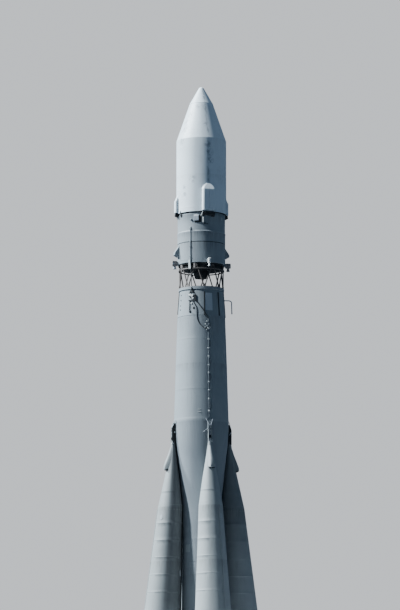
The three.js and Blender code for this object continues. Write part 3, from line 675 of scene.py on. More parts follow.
# ------------------------------------------------------------------ engines
def bell_part():
    """One main nozzle: ribbed outer wall, rim, open inside."""
    out = [(0.360, 0.0), (0.3605, 0.018), (0.354, 0.022)]
    prof = lambda z: float(np.interp(z, [0, 0.24, 0.53, 0.77, 0.86, 0.95], [0.357, 0.330, 0.260, 0.139, 0.149, 0.165]))
    z = 0.03
    while z < 0.86:
        rib = 0.0035 if int(z / 0.012) % 5 == 0 else 0.0
        out.append((prof(z) + rib - 0.001, z))
        z += 0.012
    out += [(0.150, 0.872), (0.158, 0.880), (0.158, 0.9046), (0, 0.9046)]
    inside = [(0, 0.690), (0.06, 0.688), (0.112, 0.672), (0.150, 0.620), (0.200, 0.560), (0.244, 0.490), (0.283, 0.370), (0.312, 0.230), (0.330, 0.100), (0.340, 0.0), (0.360, 0.0)]
    return lathe(out, 48), lathe(inside, 48)


BELL, BELL_IN = bell_part()


def engine_parts(plate_r, steer, az, shift):
    ps = []
    place = lambda p: turned(moved(p, (shift, 0, 0)), az)
    plate = [(0, 0.905), (plate_r - 0.02, 0.905), (plate_r, 0.912), (plate_r, 0.9695), (0, 0.9695)]
    ps.append((place(lathe(plate, 96)), M["dark"]))
    for k in range(24):
        a = k * 15 + 7.5
        ps.append((place(about_z(moved(ball((0, 0, 0), 0.014, 8, 4), (plate_r - 0.05, 0, 0.906)), a)), M["steel"]))
    for sx in (-1, 1):
        for sy in (-1, 1):
            ps.append((place(moved(BELL, (sx * 0.42, sy * 0.42, 0))), M["bell"]))
            ps.append((place(moved(BELL_IN, (sx * 0.42, sy * 0.42, 0))), M["bell_in"]))
            # coolant feed from the head down to the rim
            ang = math.atan2(sy, sx)
            ps.append((place(sweep(rounded([(sx * 0.42 + math.cos(ang + 2.5) * r, sy * 0.42 + math.sin(ang + 2.5) * r, z)
                                            for r, z in ((0.19, 0.90), (0.20, 0.74), (0.30, 0.52), (0.366, 0.20), (0.362, 0.085))], 0.06, 3), 0.016, 10)), M["steel"]))
            ps.append((place(moved(lathe([(0.352, 0.060), (0.372, 0.066), (0.376, 0.085), (0.372, 0.104), (0.350, 0.110)], 48, True), (sx * 0.42, sy * 0.42, 0))), M["steel"]))
    ps.append((place(moved(lathe([(0, 0.80), (0.10, 0.80), (0.14, 0.84), (0.14, 0.906), (0, 0.906)], 32), (0, 0, 0))), M["steel"]))
    for sx in (-1, 1):
        for sy in (-1, 1):
            ps.append((place(sweep([(sx * 0.10, sy * 0.10, 0.855), (sx * 0.33, sy * 0.33, 0.855)], 0.028, 12)), M["steel"]))
    for e in steer:
        s = e["half"] + 0.008
        for a0, a1 in ((-s - 0.028, -s), (s, s + 0.028)):
            ear = prism([(-0.070, 0.906), (-0.070, 0.790), (-0.045, 0.745), (0.0, 0.730), (0.045, 0.745), (0.070, 0.790), (0.070, 0.906)], 0, 0.028)
            v, f = ear
            v = np.stack([v[:, 1] + e["radius"] + a0, v[:, 0], v[:, 2]], 1)
            ps.append((place(about_z((v, f), e["angle"])), M["steel"]))
    return ps


def steer_part(half):
    out = [(0, 0.780), (0.040, 0.780), (0.052, 0.700), (0.056, 0.668), (0.062, 0.655), (0.072, 0.630), (0.093, 0.575), (0.112, 0.510), (0.126, 0.455), (0.130, 0.440), (0.114, 0.440)]
    ins = [(0.114, 0.440), (0.100, 0.500), (0.078, 0.575), (0.050, 0.630), (0, 0.642)]
    v, f = lathe([(0, -half), (STEER_R - 0.006, -half), (STEER_R, -half + 0.006), (STEER_R, half - 0.006), (STEER_R - 0.006, half), (0, half)], 32)
    pin = (np.stack([v[:, 2], v[:, 0], v[:, 1] + 0.80], 1), f)
    hub = lathe([(0.06, 0.716), (0.066, 0.720), (0.066, 0.744), (0.05, 0.750)], 32)
    return [(lathe(out, 40), M["bell"]), (lathe(ins, 40), M["bell_in"]), (pin, M["steel"]), (hub, M["steel"]),
            (sweep(rounded([(0.050, 0.030, 0.77), (0.074, 0.030, 0.70), (0.092, 0.03, 0.60), (0.118, 0.02, 0.50)], 0.03, 3), 0.008, 8), M["steel"])]


STEER_R = 0.070
CORE_STEER = [{"radius": 0.880, "half": 0.078, "angle": az - 0} for _, az in SIDES]
make("core_engine_detail", engine_parts(0.998, CORE_STEER, 90, 0.0), None, replaces=["core_engine"], angle=40)
for side, az in SIDES:
    ps = [(turned(moved(p, (0.880, 0, 0)), az), m) for p, m in steer_part(0.078)]
    name = f"core_steering_engine_{side}"
    make(name + "_detail", ps, None, body=name, replaces=[name], angle=40)


# ------------------------------------------------------------------ boosters
def booster_rows(z0, z1, step=0.22):
    return smooth_table(BOOSTER, z0, z1, step)


def b_at(z):
    return [float(np.interp(z, [b[0] for b in BOOSTER], [b[i] for b in BOOSTER])) for i in (1, 2)]


def b_beads(rows, zs, half=0.020, proud=0.006):
    for zc in zs:
        rows = [q for q in rows if abs(q[0] - zc) > half * 1.4]
        r, c = b_at(zc)
        for k in range(7):
            t = -1 + k / 3
            rows.append([zc + t * half, r + proud * math.cos(t * math.pi / 2), c])
        rows.sort(key=lambda q: q[0])
    return rows


def b_groove(rows, z, width=0.022, depth=0.014):
    r, c = b_at(z)
    rows = [q for q in rows if abs(q[0] - z) > width]
    rows += [[z - width / 2, r, c], [z - width / 2 + 0.002, r - depth, c], [z + width / 2 - 0.002, r - depth, c], [z + width / 2, r, c]]
    return sorted(rows, key=lambda q: q[0])


def on_booster(a, z, lift=0.0):
    """Local point on a booster's skin; a is the angle round its own axis, 0 = outward."""
    r, c = b_at(z)
    return (c + (r + lift) * math.cos(math.radians(a)), (r + lift) * math.sin(math.radians(a)), z)


for side, az in SIDES:
    T = lambda p: turned(p, az)
    name = lambda n: f"booster_{side}_{n}"
    # tail section
    rows = [[TAIL_Z0, TAIL_R - 0.012, TAIL_RC], [TAIL_Z0 + 0.006, TAIL_R, TAIL_RC]]
    for z in (1.15, 1.55, 1.95, 2.35, 2.75, 3.10):
        for k in range(7):
            t = -1 + k / 3
            rows.append([z + t * 0.016, TAIL_R + 0.005 * math.cos(t * math.pi / 2), TAIL_RC])
    rows += [[TAIL_Z1 - 0.03, TAIL_R, TAIL_RC], [TAIL_Z1 - 0.022, TAIL_R - 0.012, TAIL_RC], [TAIL_Z1 - GAP, TAIL_R - 0.012, TAIL_RC]]
    ps = [(T(loft(rows, 96)), M["booster"])]
    v, f = lathe([(0.0, 0), (0.19, 0), (0.19, 0.06), (0.178, 0.072), (0.10, 0.078), (0.10, 0.104), (0, 0.104)], 32)
    ps.append((T((np.stack([v[:, 2] + 3.900, v[:, 0], v[:, 1] + 1.900], 1), f)), M["trim"]))
    for k in range(12):
        a = math.radians(k * 30)
        ps.append((T(ball((3.975, 0.15 * math.cos(a), 1.9 + 0.15 * math.sin(a)), 0.011, 8, 4)), M["steel"]))
    make(name("tail_section_skin"), ps, None, replaces=[name("tail_section")])
    strs = []
    for k in range(24):
        a = k * 15 + 7.5
        if abs((a + 180) % 360 - 180) < 10 or abs(a - 180) < 14:
            continue
        c, s = math.cos(math.radians(a)), math.sin(math.radians(a))
        v, f = block(TAIL_R + 0.0005, TAIL_R + 0.013, -0.016, 0.016, 1.02, 3.16)
        strs.append(T(moved(about_z((v, f), a), (TAIL_RC, 0, 0))))
    make(name("tail_stringers"), merged(strs), M["booster"], bevel=0.004)
    # tanks
    rows = b_groove(b_beads(booster_rows(TAIL_Z1, B_SPLIT_Z - GAP), (4.3, 5.4, 6.5, 7.6, 8.7)), 9.55)
    # tank skins: the right booster's oxidizer tank takes the darker painted-shade paint, the left booster's tanks the
    # paint with painted shade on its inner side
    make(name("fuel_tank_skin"), T(loft(rows, 96)), M["lee"] if side == "left" else M["booster"], replaces=[name("fuel_tank")])
    rows = b_groove(b_beads(booster_rows(B_SPLIT_Z, NOSE_Z - GAP), (11.3, 12.2, 13.1, 14.0, 14.9)), 10.25)
    make(name("oxidizer_tank_skin"), T(loft(rows, 96)), {"right": M["shade"], "left": M["lee"]}.get(side, M["booster"]), replaces=[name("oxidizer_tank")])
    rv = []
    for z in (9.78, 10.02, 15.60, 15.86, 3.30):
        for k in range(72 if z < 12 else 48):
            a = k * 360 / (72 if z < 12 else 48)
            rv.append(T(ball(on_booster(a, z, 0.001), 0.010, 6, 4)))
    make(name("joint_rivets"), merged(rv), M["booster"])
    # nose: cone, neck, ball stem, vent wedge with two open ports
    rows = b_beads(booster_rows(NOSE_Z, 19.30, 0.1), (16.55,), proud=0.003)
    # nose skin: painted shade on the right booster and on the left booster's inner side, as on the tanks
    skin = {"right": M["shade"], "left": M["lee"]}.get(side, M["booster"])
    ps = [(T(loft(rows, 80)), skin)]
    neck = lathe([(0.086, 19.29), (0.092, 19.295), (0.092, 19.325), (0.066, 19.335), (0.062, 19.36), (0.060, 19.62), (0.062, 19.70), (0.062, 19.745), (0.056, 19.757), (0, 19.758)], 32)
    ps.append((T(moved(neck, (1.552, 0, 0))), M["dark"]))
    for s in (-1, 1):
        # socket legs: dark paint on the left and right boosters is painted shade, booster grey on the front and back
        leg = prism([(1.502, 19.30), (1.518, 19.16), (1.560, 19.14), (1.630, 19.14), (1.640, 19.16), (1.640, 19.74), (1.632, 19.757), (1.502, 19.757)], 0.068, 0.098)
        leg = (leg[0] * np.array([1, s, 1]), leg[1] if s > 0 else [tuple(reversed(q)) for q in leg[1]])
        ps.append((T(leg), M["booster"] if side in ("front", "back") else M["dark"]))
    ps.append((T(block(1.560, 1.652, -0.030, 0.128, 19.085, 19.155)), M["pale"]))
    ps.append((T(sweep([(1.600, 0.110, 19.15), (1.620, 0.128, 19.24)], 0.014, 8)), M["pale"]))
    ps.append((T(block(1.556, 1.630, -0.067, 0.067, 19.440, 19.752)), M["edge"]))
    for z in (19.52, 19.68):
        v, f = lathe([(0, 0), (0.040, 0), (0.040, 0.006), (0.030, 0.010), (0, 0.010)], 16)
        ps.append((T((np.stack([v[:, 2] + 1.629, v[:, 0], v[:, 1] * 1.4 + z], 1), f)), M["trim"]))
    w = 0.185
    wedge_out = [(18.90, 0.02), (18.60, 0.075), (18.20, 0.165), (17.93, 0.235), (17.80, 0.262), (17.74, 0.240)]
    vs, fs = [], []
    n = 15
    for z, h in wedge_out:
        r, c = b_at(z)
        for i in range(n):
            t = -1 + 2 * i / (n - 1)
            half = min(w, 0.86 * r)
            y = half * t
            base = c + math.sqrt(max(r * r - y * y, 0)) - 0.012
            bulge = (1 - abs(t) ** 3.0)
            vs.append((min(base + (h + 0.012) * bulge, 2.044), y, z))
    m = len(wedge_out)
    for k in range(m - 1):
        for i in range(n - 1):
            fs.append((k * n + i, k * n + i + 1, (k + 1) * n + i + 1, (k + 1) * n + i))
    low = len(vs)
    for i in range(n):
        t = -1 + 2 * i / (n - 1)
        r, c = b_at(17.72)
        y = w * t
        vs.append((c + math.sqrt(max(r * r - y * y, 0)) - 0.02, y, 17.72))
    for i in range(n - 1):
        fs.append(((m - 1) * n + i, (m - 1) * n + i + 1, low + i + 1, low + i))
    ps.append((T((np.array(vs), fs)), skin))
    for s in (-1, 1):
        port = lathe([(0.0, 0.06), (0.066, 0.06), (0.070, 0.0), (0.078, 0.0), (0.078, 0.07), (0, 0.07)], 24)
        v, f = port
        ps.append((T(moved((v * np.array([1.3, 1.0, 1.0]), f), (1.885, s * 0.095, 17.700))), M["black"]))
    make(name("nose_skin"), ps, None, replaces=[name("nose")])
    # whiskers from the socket to the ridge ring
    wk = [sweep([(1.628, s * 0.040, 19.95), (1.462, s * 0.185, 20.330)], 0.017, 8) for s in (-1, 1)]
    wk.append(sweep([(1.610, -0.100, 19.80), (1.450, -0.330, 19.62)], 0.014, 8))
    make(name("socket_stays"), T(merged(wk)), M["mid"])
    # dark filler in the narrow gap between booster and core: painted shade standing for the shadow in the gap
    zs = [9.9 + 0.305 * i for i in range(31)]
    vs, fs = [], []
    for z in zs:
        r, c = b_at(z)
        inner = max(core_r(z) + 0.004, c - r - 0.085)
        vs += [(inner, -0.055, z), (c - r + 0.006, -0.062, z), (c - r + 0.006, 0.062, z), (inner, 0.055, z)]
    for i in range(len(zs) - 1):
        fs += [(i * 4 + j, i * 4 + (j + 1) % 4, i * 4 + 4 + (j + 1) % 4, i * 4 + 4 + j) for j in range(4)]
    fs += [(3, 2, 1, 0), tuple(range(len(vs) - 4, len(vs)))]
    seat = [(np.array(vs), fs)]
    if side in ("left", "right"):
        seat.append(block(1.300, 1.505, -0.062, 0.062, 19.02, 19.70))
    make(name("seat"), T(merged(seat)), M["dark"], bevel=0.004)
    # conduit on the outer side, with saddles
    zs = [3.4 + 0.35 * i for i in range(38)]
    ca = -24 if side == "left" else 24
    cd = sweep([on_booster(ca, z, 0.020) for z in zs if z < 15.9], 0.020, 8)
    sd = [sweep([on_booster(ca - 2.4 / b_at(z)[0], z, 0.004), on_booster(ca, z, 0.046), on_booster(ca + 2.4 / b_at(z)[0], z, 0.004)], 0.010, 6) for z in zs[::2] if z < 15.8]
    make(name("conduit"), T(merged([cd] + sd)), M["booster"])
    hat = []
    for a, z, hw, hh in ((-20, 8.9, 0.17, 0.22), (35, 15.2, 0.10, 0.14), (-150, 4.1, 0.2, 0.2), (150, 12.3, 0.12, 0.16), (-55, 2.4, 0.2, 0.24)):
        r, c = b_at(z) if z > 3.2 else (TAIL_R, TAIL_RC)
        vs, fs = [], []
        for i in range(25):
            t = 2 * math.pi * i / 24
            for rr, lift in ((1.0, 0.001), (0.96, 0.010), (0.0, 0.011)):
                zz = z + hh * rr * math.sin(t)
                r2, c2 = b_at(zz) if z > 3.2 else (TAIL_R, TAIL_RC)
                aa = math.radians(a) + hw * rr * math.cos(t) / r2
                vs.append((c2 + (r2 + lift) * math.cos(aa), (r2 + lift) * math.sin(aa), zz))
        for i in range(24):
            for j in range(2):
                fs.append((i * 3 + j, (i + 1) * 3 + j, (i + 1) * 3 + j + 1, i * 3 + j + 1))
        hat.append(T((np.array(vs), fs)))
    make(name("hatches"), merged(hat), M["trim"])
    # engine and steering engines
    st = [{"radius": 1.050, "half": 0.095, "angle": a} for a in (70, -70)]
    ps = []
    for p, mt in engine_parts(1.265, [], az, TAIL_RC):
        ps.append((p, mt))
    for e in st:
        s = e["half"] + 0.008
        for a0 in (-s - 0.028, s):
            v, f = prism([(-0.070, 0.906), (-0.070, 0.790), (-0.045, 0.745), (0.0, 0.730), (0.045, 0.745), (0.070, 0.790), (0.070, 0.906)], 0, 0.028)
            v = np.stack([v[:, 1] + e["radius"] + a0, v[:, 0], v[:, 2]], 1)
            ear = turned((v, f), e["angle"] + 90)
            ps.append((T(moved(ear, (TAIL_RC, 0, 0))), M["steel"]))
    make(name("engine_detail"), ps, None, replaces=[name("engine")], angle=40)
    for tag, a in (("a", 70), ("b", -70)):
        sn = name(f"steering_engine_{tag}")
        ps = [(T(moved(turned(moved(p, (1.050, 0, 0)), a + 90), (TAIL_RC, 0, 0))), mt) for p, mt in steer_part(0.095)]
        make(sn + "_detail", ps, None, body=sn, replaces=[sn], angle=40)
    # air rudder: lens section and ribbed skin
    vs, fs = [], []
    nspan, nsec = 9, 28
    for k in range(nspan):
        u = k / (nspan - 1)
        x = 4.012 + (5.150 - 4.012) * u
        lo, hi = 1.30, 2.55 + (1.90 - 2.55) * u
        th = 0.120 + (0.060 - 0.120) * u
        ch = hi - lo
        for i in range(nsec):
            t = 2 * math.pi * i / nsec
            zz = lo + ch * (0.5 - 0.5 * math.cos(t))
            yy = 0.5 * th * math.sin(t) * (0.82 + 0.18 * math.cos(t))
            vs.append((x, yy, zz))
    for k in range(nspan - 1):
        for i in range(nsec):
            j = (i + 1) % nsec
            fs.append((k * nsec + i, k * nsec + j, (k + 1) * nsec + j, (k + 1) * nsec + i))
    fs.append(tuple(reversed(range(nsec))))
    fs.append(tuple(range((nspan - 1) * nsec, nspan * nsec)))
    ps = [(T((np.array(vs), fs)), M["booster"])]
    for x, lo, hi in ((4.25, 1.34, 2.38), (4.55, 1.34, 2.20), (4.85, 1.34, 2.03)):
        for s in (-1, 1):
            u = (x - 4.012) / 1.138
            th = 0.120 - 0.06 * u
            rowz = np.linspace(lo, hi, 12)
            ps.append((T(sweep([(x, s * (0.5 * th * math.sqrt(max(0.0, 1 - ((zz - (1.30 + (2.55 - 0.65 * u)) / 2) / ((1.25 - 0.65 * u) / 2)) ** 2)) * 0.97 + 0.001), zz) for zz in rowz], 0.006, 6)), M["booster"]))
    rn = name("air_rudder")
    make(rn + "_skin", ps, None, body=rn, replaces=[rn])


# ------------------------------------------------------------------ truss and third stage
bars, nodes = [], []
R, RF, Z0, Z1, foot0 = 1.185, 1.160, CORE_TOP_Z + GAP, S3_Z0 - GAP, -8.5
for k in range(8):
    foot = foot0 + 45 * k
    for s in (-1, 1):
        a, b = Vector(P(foot + s * 1.2, RF, Z0 + 0.04)), Vector(P(foot + s * 21.3, R, Z1 - 0.04))
        bars.append(sweep([a, b], 0.034, 14))
        bars.append(sweep([a + (b - a) * q for q in (0.03, 0.10)], 0.043, 14))
        bars.append(sweep([a + (b - a) * q for q in (0.88, 0.97)], 0.043, 14))
    nodes.append(turned(prism([(RF - 0.045, Z0 + 0.0), (RF + 0.036, Z0), (RF + 0.036, Z0 + 0.09), (RF + 0.01, Z0 + 0.14), (RF - 0.02, Z0 + 0.14), (RF - 0.045, Z0 + 0.09)], -0.072, 0.072), foot))
    nodes.append(turned(prism([(R - 0.045, Z1), (R + 0.034, Z1), (R + 0.034, Z1 - 0.11), (R + 0.01, Z1 - 0.17), (R - 0.02, Z1 - 0.17), (R - 0.045, Z1 - 0.11)], -0.072, 0.072), foot + 22.5))
rings = merged([lathe([(RF - 0.05, Z0), (RF + 0.042, Z0), (RF + 0.042, Z0 + 0.018), (RF + 0.034, Z0 + 0.025), (RF - 0.05, Z0 + 0.025)], 128, True),
                lathe([(R - 0.013, 28.317), (R + 0.031, 28.317), (R + 0.037, 28.323), (R + 0.037, 28.367), (R + 0.031, 28.373), (R - 0.013, 28.373)], 128, True)])
top_ring = lathe([(R - 0.045, Z1 - 0.07), (R + 0.032, Z1 - 0.07), (R + 0.040, Z1 - 0.06), (R + 0.040, Z1), (R - 0.045, Z1)], 128, True)
make("interstage_truss_bars", [(merged(bars), M["truss"]), (merged(nodes), M["truss"]), (rings, M["truss"]), (top_ring, M["dark"])], None, replaces=["interstage_truss"])

eng = [(0, Z1), (1.122, Z1), (1.128, Z1 - 0.006), (1.128, 28.60), (1.122, 28.594), (1.122, 28.520), (1.128, 28.514), (1.128, 28.424), (1.122, 28.412), (1.095, 28.394), (0.90, 28.390), (0.66, 28.387), (0.430, 28.384), (0.412, 28.372), (0.405, 28.355), (0.400, 28.30), (0.400, 28.150), (0.380, 28.095), (0.362, 28.050), (0.358, 28.01), (0.358, 27.975),
       (0.330, 27.975), (0.318, 28.02), (0.300, 28.080), (0.17, 28.108), (0, 28.120)]
make("third_stage_engine_shroud", lathe(eng[::-1], 96), M["dark"], replaces=["third_stage_engine"], angle=40)
feed = []
for k in range(12):
    a = k * 30 + 9
    feed.append(sweep([P(a, 1.06, 28.392), P(a + 3, 0.80, 28.384), P(a + 5, 0.46, 28.376), P(a + 6, 0.41, 28.30)], 0.016, 8))
for a, r0 in ((20, 0.75), (140, 0.8), (260, 0.75)):
    feed.append(ball(P(a, 0.62, 28.37), 0.085, 18, 12))
make("third_stage_engine_lines", merged(feed), M["dark"])

body_rows = [(0, S3_Z0), (S3_R - 0.016, S3_Z0), (S3_R, S3_Z0 + 0.010), (S3_R, 28.825), (S3_R + 0.003, 28.83), (S3_R + 0.003, 28.845), (S3_R, 28.85), (S3_R, 29.2), (S3_R, S3_JOINT_Z - 0.020), (S3_R - 0.018, S3_JOINT_Z - 0.018),
             (S3_R - 0.018, S3_JOINT_Z + 0.018), (S3_R, S3_JOINT_Z + 0.020), (S3_R, 30.02), (S3_R + 0.004, S3_RING_Z - 0.080), (S3_R + 0.017, S3_RING_Z - 0.014), (S3_R + 0.017, S3_RING_Z - 0.006), (S3_R - 0.012, S3_RING_Z + 0.038), (S3_R - 0.013, S3_RING_Z + 0.050),
             (S3_R - 0.010, 30.7), (S3_R - 0.006, 31.20), (S3_R - 0.003, 31.21), (S3_R - 0.003, 31.26), (S3_R - 0.006, 31.27), (S3_R - 0.006, S3_Z1 - 0.006), (S3_R - 0.012, S3_Z1), (ADAPTER_R + 0.01, S3_Z1), (ADAPTER_R, S3_Z1 + 0.006), (ADAPTER_R, ADAPTER_Z - 0.004), (ADAPTER_R - 0.004, ADAPTER_Z), (0, ADAPTER_Z)]
# the dark ring over the adapter, under the fairing's lip, is painted shadow
make("third_stage_body_skin", [(lathe(body_rows, 160), M["stage"]), (seam_fill(S3_R, S3_JOINT_Z - 0.017, S3_JOINT_Z + 0.017, 0.017), M["dark"]), (lathe([(1.200, S3_Z1 + 0.004), (ADAPTER_R + 0.002, S3_Z1 + 0.004), (ADAPTER_R + 0.002, ADAPTER_Z - 0.006), (1.200, ADAPTER_Z - 0.006)], 160, True), M["dark"])], None, replaces=["third_stage_body"], angle=28)
pods = []
for az in (90, 270):
    pods.append(turned(prism([(1.24, 29.620), (1.276, 29.620), (1.498, 29.290), (1.510, 29.266), (1.510, 29.164), (1.496, 29.148), (1.330, 29.052), (1.24, 29.05)], -0.168, 0.168), az))
make("third_stage_pods", merged(pods), M["stage"], bevel=0.008)
# hinge brackets under the fairing halves, their straps on the halves, and a spur beside each
lug = []
for side, az in (("right", 90), ("left", 270)):
    lug.append(turned(prism([(1.24, 31.190), (1.330, 31.190), (1.410, 31.222), (1.452, 31.250), (1.472, 31.280), (1.472, 31.305), (1.452, 31.332), (1.24, 31.332)], -0.080, 0.080), az))
    lug.append(turned(sweep([(1.452, -0.090, 31.292), (1.452, 0.090, 31.292)], 0.020, 12), az))
    strap = [turned(block(1.345, 1.455, -0.078, 0.078, 31.345, 31.425), az)]
    for a in (az - 17.5, az + 17.5):
        lug.append(turned(prism([(1.255, 31.10), (1.292, 31.18), (1.318, 31.27), (1.310, 31.325), (1.255, 31.325)], -0.055, 0.055), a))
        strap.append(turned(prism([(1.322, 31.376), (1.350, 31.380), (1.346, 31.430), (1.322, 31.500)], -0.040, 0.040), a))
    make(f"fairing_hinge_straps_{side}", merged(strap), M["dark"], body=f"fairing_{side}", bevel=0.006)
make("third_stage_hinge_lugs", merged(lug), M["dark"], bevel=0.008)
# latch under each lock housing: one long black block, a foot at its right end and a pale lever at its left end; the
# block's near-black paint is partly painted shade of the hollow under the housing
latch, lever = [], []
for az in (0, 180):
    latch.append(turned(prism([(1.20, 31.150), (1.372, 31.150), (1.412, 31.200), (1.420, 31.215), (1.420, 31.345), (1.235, 31.345), (1.20, 31.322)], -0.338, 0.338), az))
    latch.append(turned(prism([(1.20, 31.082), (1.332, 31.082), (1.402, 31.170), (1.20, 31.170)], 0.17, 0.335), az))
    latch.append(turned(prism([(1.20, 31.082), (1.332, 31.082), (1.402, 31.170), (1.20, 31.170)], -0.335, -0.27), az))
    for y in (-0.22, -0.06, 0.10, 0.26):
        latch.append(turned(moved(ball((0, 0, 0), 0.022, 10, 6), (1.418, y, 31.26)), az))
    lever.append(turned(sweep([(1.392, -0.345, 31.330), (1.385, -0.365, 31.28), (1.350, -0.405, 31.14)], 0.015, 10), az))
    lever.append(turned(moved(ball((0, 0, 0), 0.026, 12, 8), (1.345, -0.408, 31.13)), az))
make("third_stage_latches", merged(latch), M["dark"], bevel=0.008)
make("third_stage_latch_levers", merged(lever), M["pale"])

# round-topped equipment box, knob, light bar, disc, stand pipe and lower frame pieces
dome = [(1.24, 30.862), (1.326, 30.862), (1.342, 30.880)] + [(1.24 + 0.104 * math.cos(math.radians(t)), 31.088 + 0.120 * math.sin(math.radians(t))) for t in (0, 15, 30, 45, 60, 75, 90)]
gear = [turned(prism(dome, -0.128, 0.128), -28.4)]
make("third_stage_equipment_box", merged(gear), M["mid"], bevel=0.012)
# dark plates beside and under the box: painted shadow of the box
box_shadow_plates = [turned(prism([(1.24, 30.800), (1.268, 30.790), (1.290, 30.830), (1.290, 31.120), (1.272, 31.160), (1.24, 31.180)], -0.088, 0.088), -20.6), turned(prism([(1.24, 30.790), (1.268, 30.790), (1.280, 30.800), (1.280, 30.858), (1.24, 30.858)], -0.190, 0.130), -24.8)]
make("third_stage_side_box", merged(box_shadow_plates), M["dark"], bevel=0.010)
knob = [ball(P(-41.0, 1.288, 30.94), 0.052, 16, 10), sweep([P(-41.0, 1.262, 30.94), P(-41.0, 1.335, 30.90)], 0.028, 12), sweep([P(-36.0, 1.258, 30.84), P(-30.4, 1.258, 30.82)], 0.014, 8)]
make("third_stage_knob", merged(knob), M["edge"])
# two small dark blocks right of and below the box: painted shadow
box_shadow_marks = [turned(block(1.25, 1.305, -0.050, 0.050, 30.70, 30.75), -8.5), turned(block(1.25, 1.295, -0.045, 0.045, 30.68, 30.72), -2.5)]
make("third_stage_fittings", merged(box_shadow_marks), M["dark"], bevel=0.004)
make("third_stage_light_bar", merged([sweep([P(-11.6, 1.300, 30.78), P(-11.6, 1.300, 31.10)], 0.044, 14), turned(block(1.262, 1.300, -0.030, 0.030, 30.80, 31.08), -11.6)]), M["pale"])
disc = lathe([(0, 0.0), (0.096, 0.0), (0.096, 0.006), (0.088, 0.010), (0.080, 0.004), (0, 0.004)], 28)
v, f = disc
make("third_stage_ports", merged([turned((np.stack([v[:, 2] + S3_R - 0.001, v[:, 0], v[:, 1] + z], 1), f), a) for a, z in ((41.3, 31.05), (136, 31.04), (-136, 31.04), (160, 29.3), (62, 29.25))]), M["trim"])
stand = rounded([P(-43.2, 1.262, 30.57), P(-43.2, 1.296, 30.52), P(-43.2, 1.296, 30.36), P(-43.2, 1.284, 30.22), P(-43.2, 1.284, 29.90), P(-43.3, 1.306, 29.74), P(-43.3, 1.308, 29.4), P(-43.1, 1.306, 28.68), P(-42.9, 1.262, 28.42)], 0.05, 4)
make("third_stage_stand_pipe", sweep(stand, 0.028, 12), M["stage"])
drop = rounded([P(-42.9, 1.262, 28.44), P(-42.6, 1.252, 28.30), P(-42.2, 1.236, 27.95), P(-41.8, 1.222, 27.40)], 0.05, 4)
make("third_stage_drop_tube", sweep(drop, 0.022, 10), M["black"])
clips = [turned(block(1.262, 1.335, -0.040, 0.040, z - 0.018, z + 0.018), -43.1) for z in (30.44, 29.5, 28.95)]
make("stand_pipe_clips", merged(clips), M["edge"], bevel=0.003)
# the tarnished bar on the frame ring at the left is a painted highlight on the ring's sunlit part; the pale plate has
# its own pale paint
plates = [(turned(block(1.222, 1.284, -0.064, 0.064, 28.320, 28.790), -45.6), M["pale"]), (turned(block(1.222, 1.246, -0.190, 0.190, 28.330, 28.368), -60.0), M["tarnish"])]
make("third_stage_frame_plate", plates, None, bevel=0.004)
ends = [turned(block(1.150, 1.240, -0.042, 0.042, 28.24, 28.60), -76.5), turned(block(1.150, 1.236, -0.050, 0.050, 28.36, 28.645), -34.0)]
make("third_stage_frame_ends", merged(ends), M["tarnish"], bevel=0.010)
rv = []
for z in (31.235, 30.33, 28.825):
    for k in range(90):
        rv.append(ball(P(k * 4.0 + 1, S3_R + {30.33: 0.006, 31.235: -0.002, 28.825: 0.004}[z], z), 0.008, 6, 4))
make("third_stage_rivets", merged(rv), M["stage"])

for side, az in SIDES:
    # fixed boss, then the swinging nozzle: a rounded head plate with end caps and a small bell at its outer end
    v, f = lathe([(0, 0), (0.094, 0), (0.094, 0.030), (0.086, 0.040), (0.070, 0.042), (0, 0.042)], 32)
    make(f"steering_boss_{side}", turned((np.stack([v[:, 2] + 1.269, v[:, 0], v[:, 1] + 28.72], 1), f), az), M["trim"])
    head = prism([(1.325, 28.604), (1.357, 28.567), (1.580, 28.567), (1.606, 28.580), (1.618, 28.606), (1.618, 28.796), (1.606, 28.826), (1.578, 28.840), (1.357, 28.840), (1.325, 28.808)], -0.056, 0.056)
    trims = [sweep([(x, -0.064, z), (x, 0.064, z)], 0.020, 10) for x, z in ((1.375, 28.795), (1.375, 28.615), (1.572, 28.795))]
    v, f = lathe([(0, -0.066), (0.048, -0.066), (0.054, -0.060), (0.054, 0.060), (0.048, 0.066), (0, 0.066)], 28)
    drum = (np.stack([v[:, 0] + 1.556, v[:, 2], v[:, 1] + 28.690], 1), f)
    noz = lathe([(0, 28.60), (0.056, 28.60), (0.058, 28.572), (0.054, 28.552), (0.054, 28.530), (0.062, 28.485), (0.071, 28.440), (0.079, 28.395), (0.082, 28.368), (0.080, 28.360), (0.068, 28.360)], 32)
    nin = lathe([(0.068, 28.360), (0.058, 28.42), (0.036, 28.49), (0, 28.520)], 32)
    hb = lathe([(0.050, 28.540), (0.062, 28.542), (0.062, 28.558), (0.050, 28.560)], 32, True)
    paint_a, paint_b = (M["pale"], M["trim"]) if side in ("front", "back") else (M["tarnish"], M["edge"])
    paint_c = M["mid"] if side == "left" else paint_a
    sn = f"third_stage_steering_nozzle_{side}"
    ps = [(turned(head, az), paint_a), (turned(merged(trims), az), paint_b), (turned(drum, az), paint_c)]
    oval = lambda q: (np.asarray(q[0], float) * np.array([1.20, 0.86, 1.0]) + np.array([0, 0, 0.16 * 28.62]) - np.array([0, 0, 0.16]) * np.asarray(q[0], float)[:, 2:3], q[1])
    ps += [(turned(moved(oval(q), (1.478, 0, 0)), az), m) for q, m in ((noz, paint_c), (nin, M["bell_in"]), (hb, paint_b))]
    make(sn + "_detail", ps, None, body=sn, replaces=[sn], angle=40, bevel=0.006)

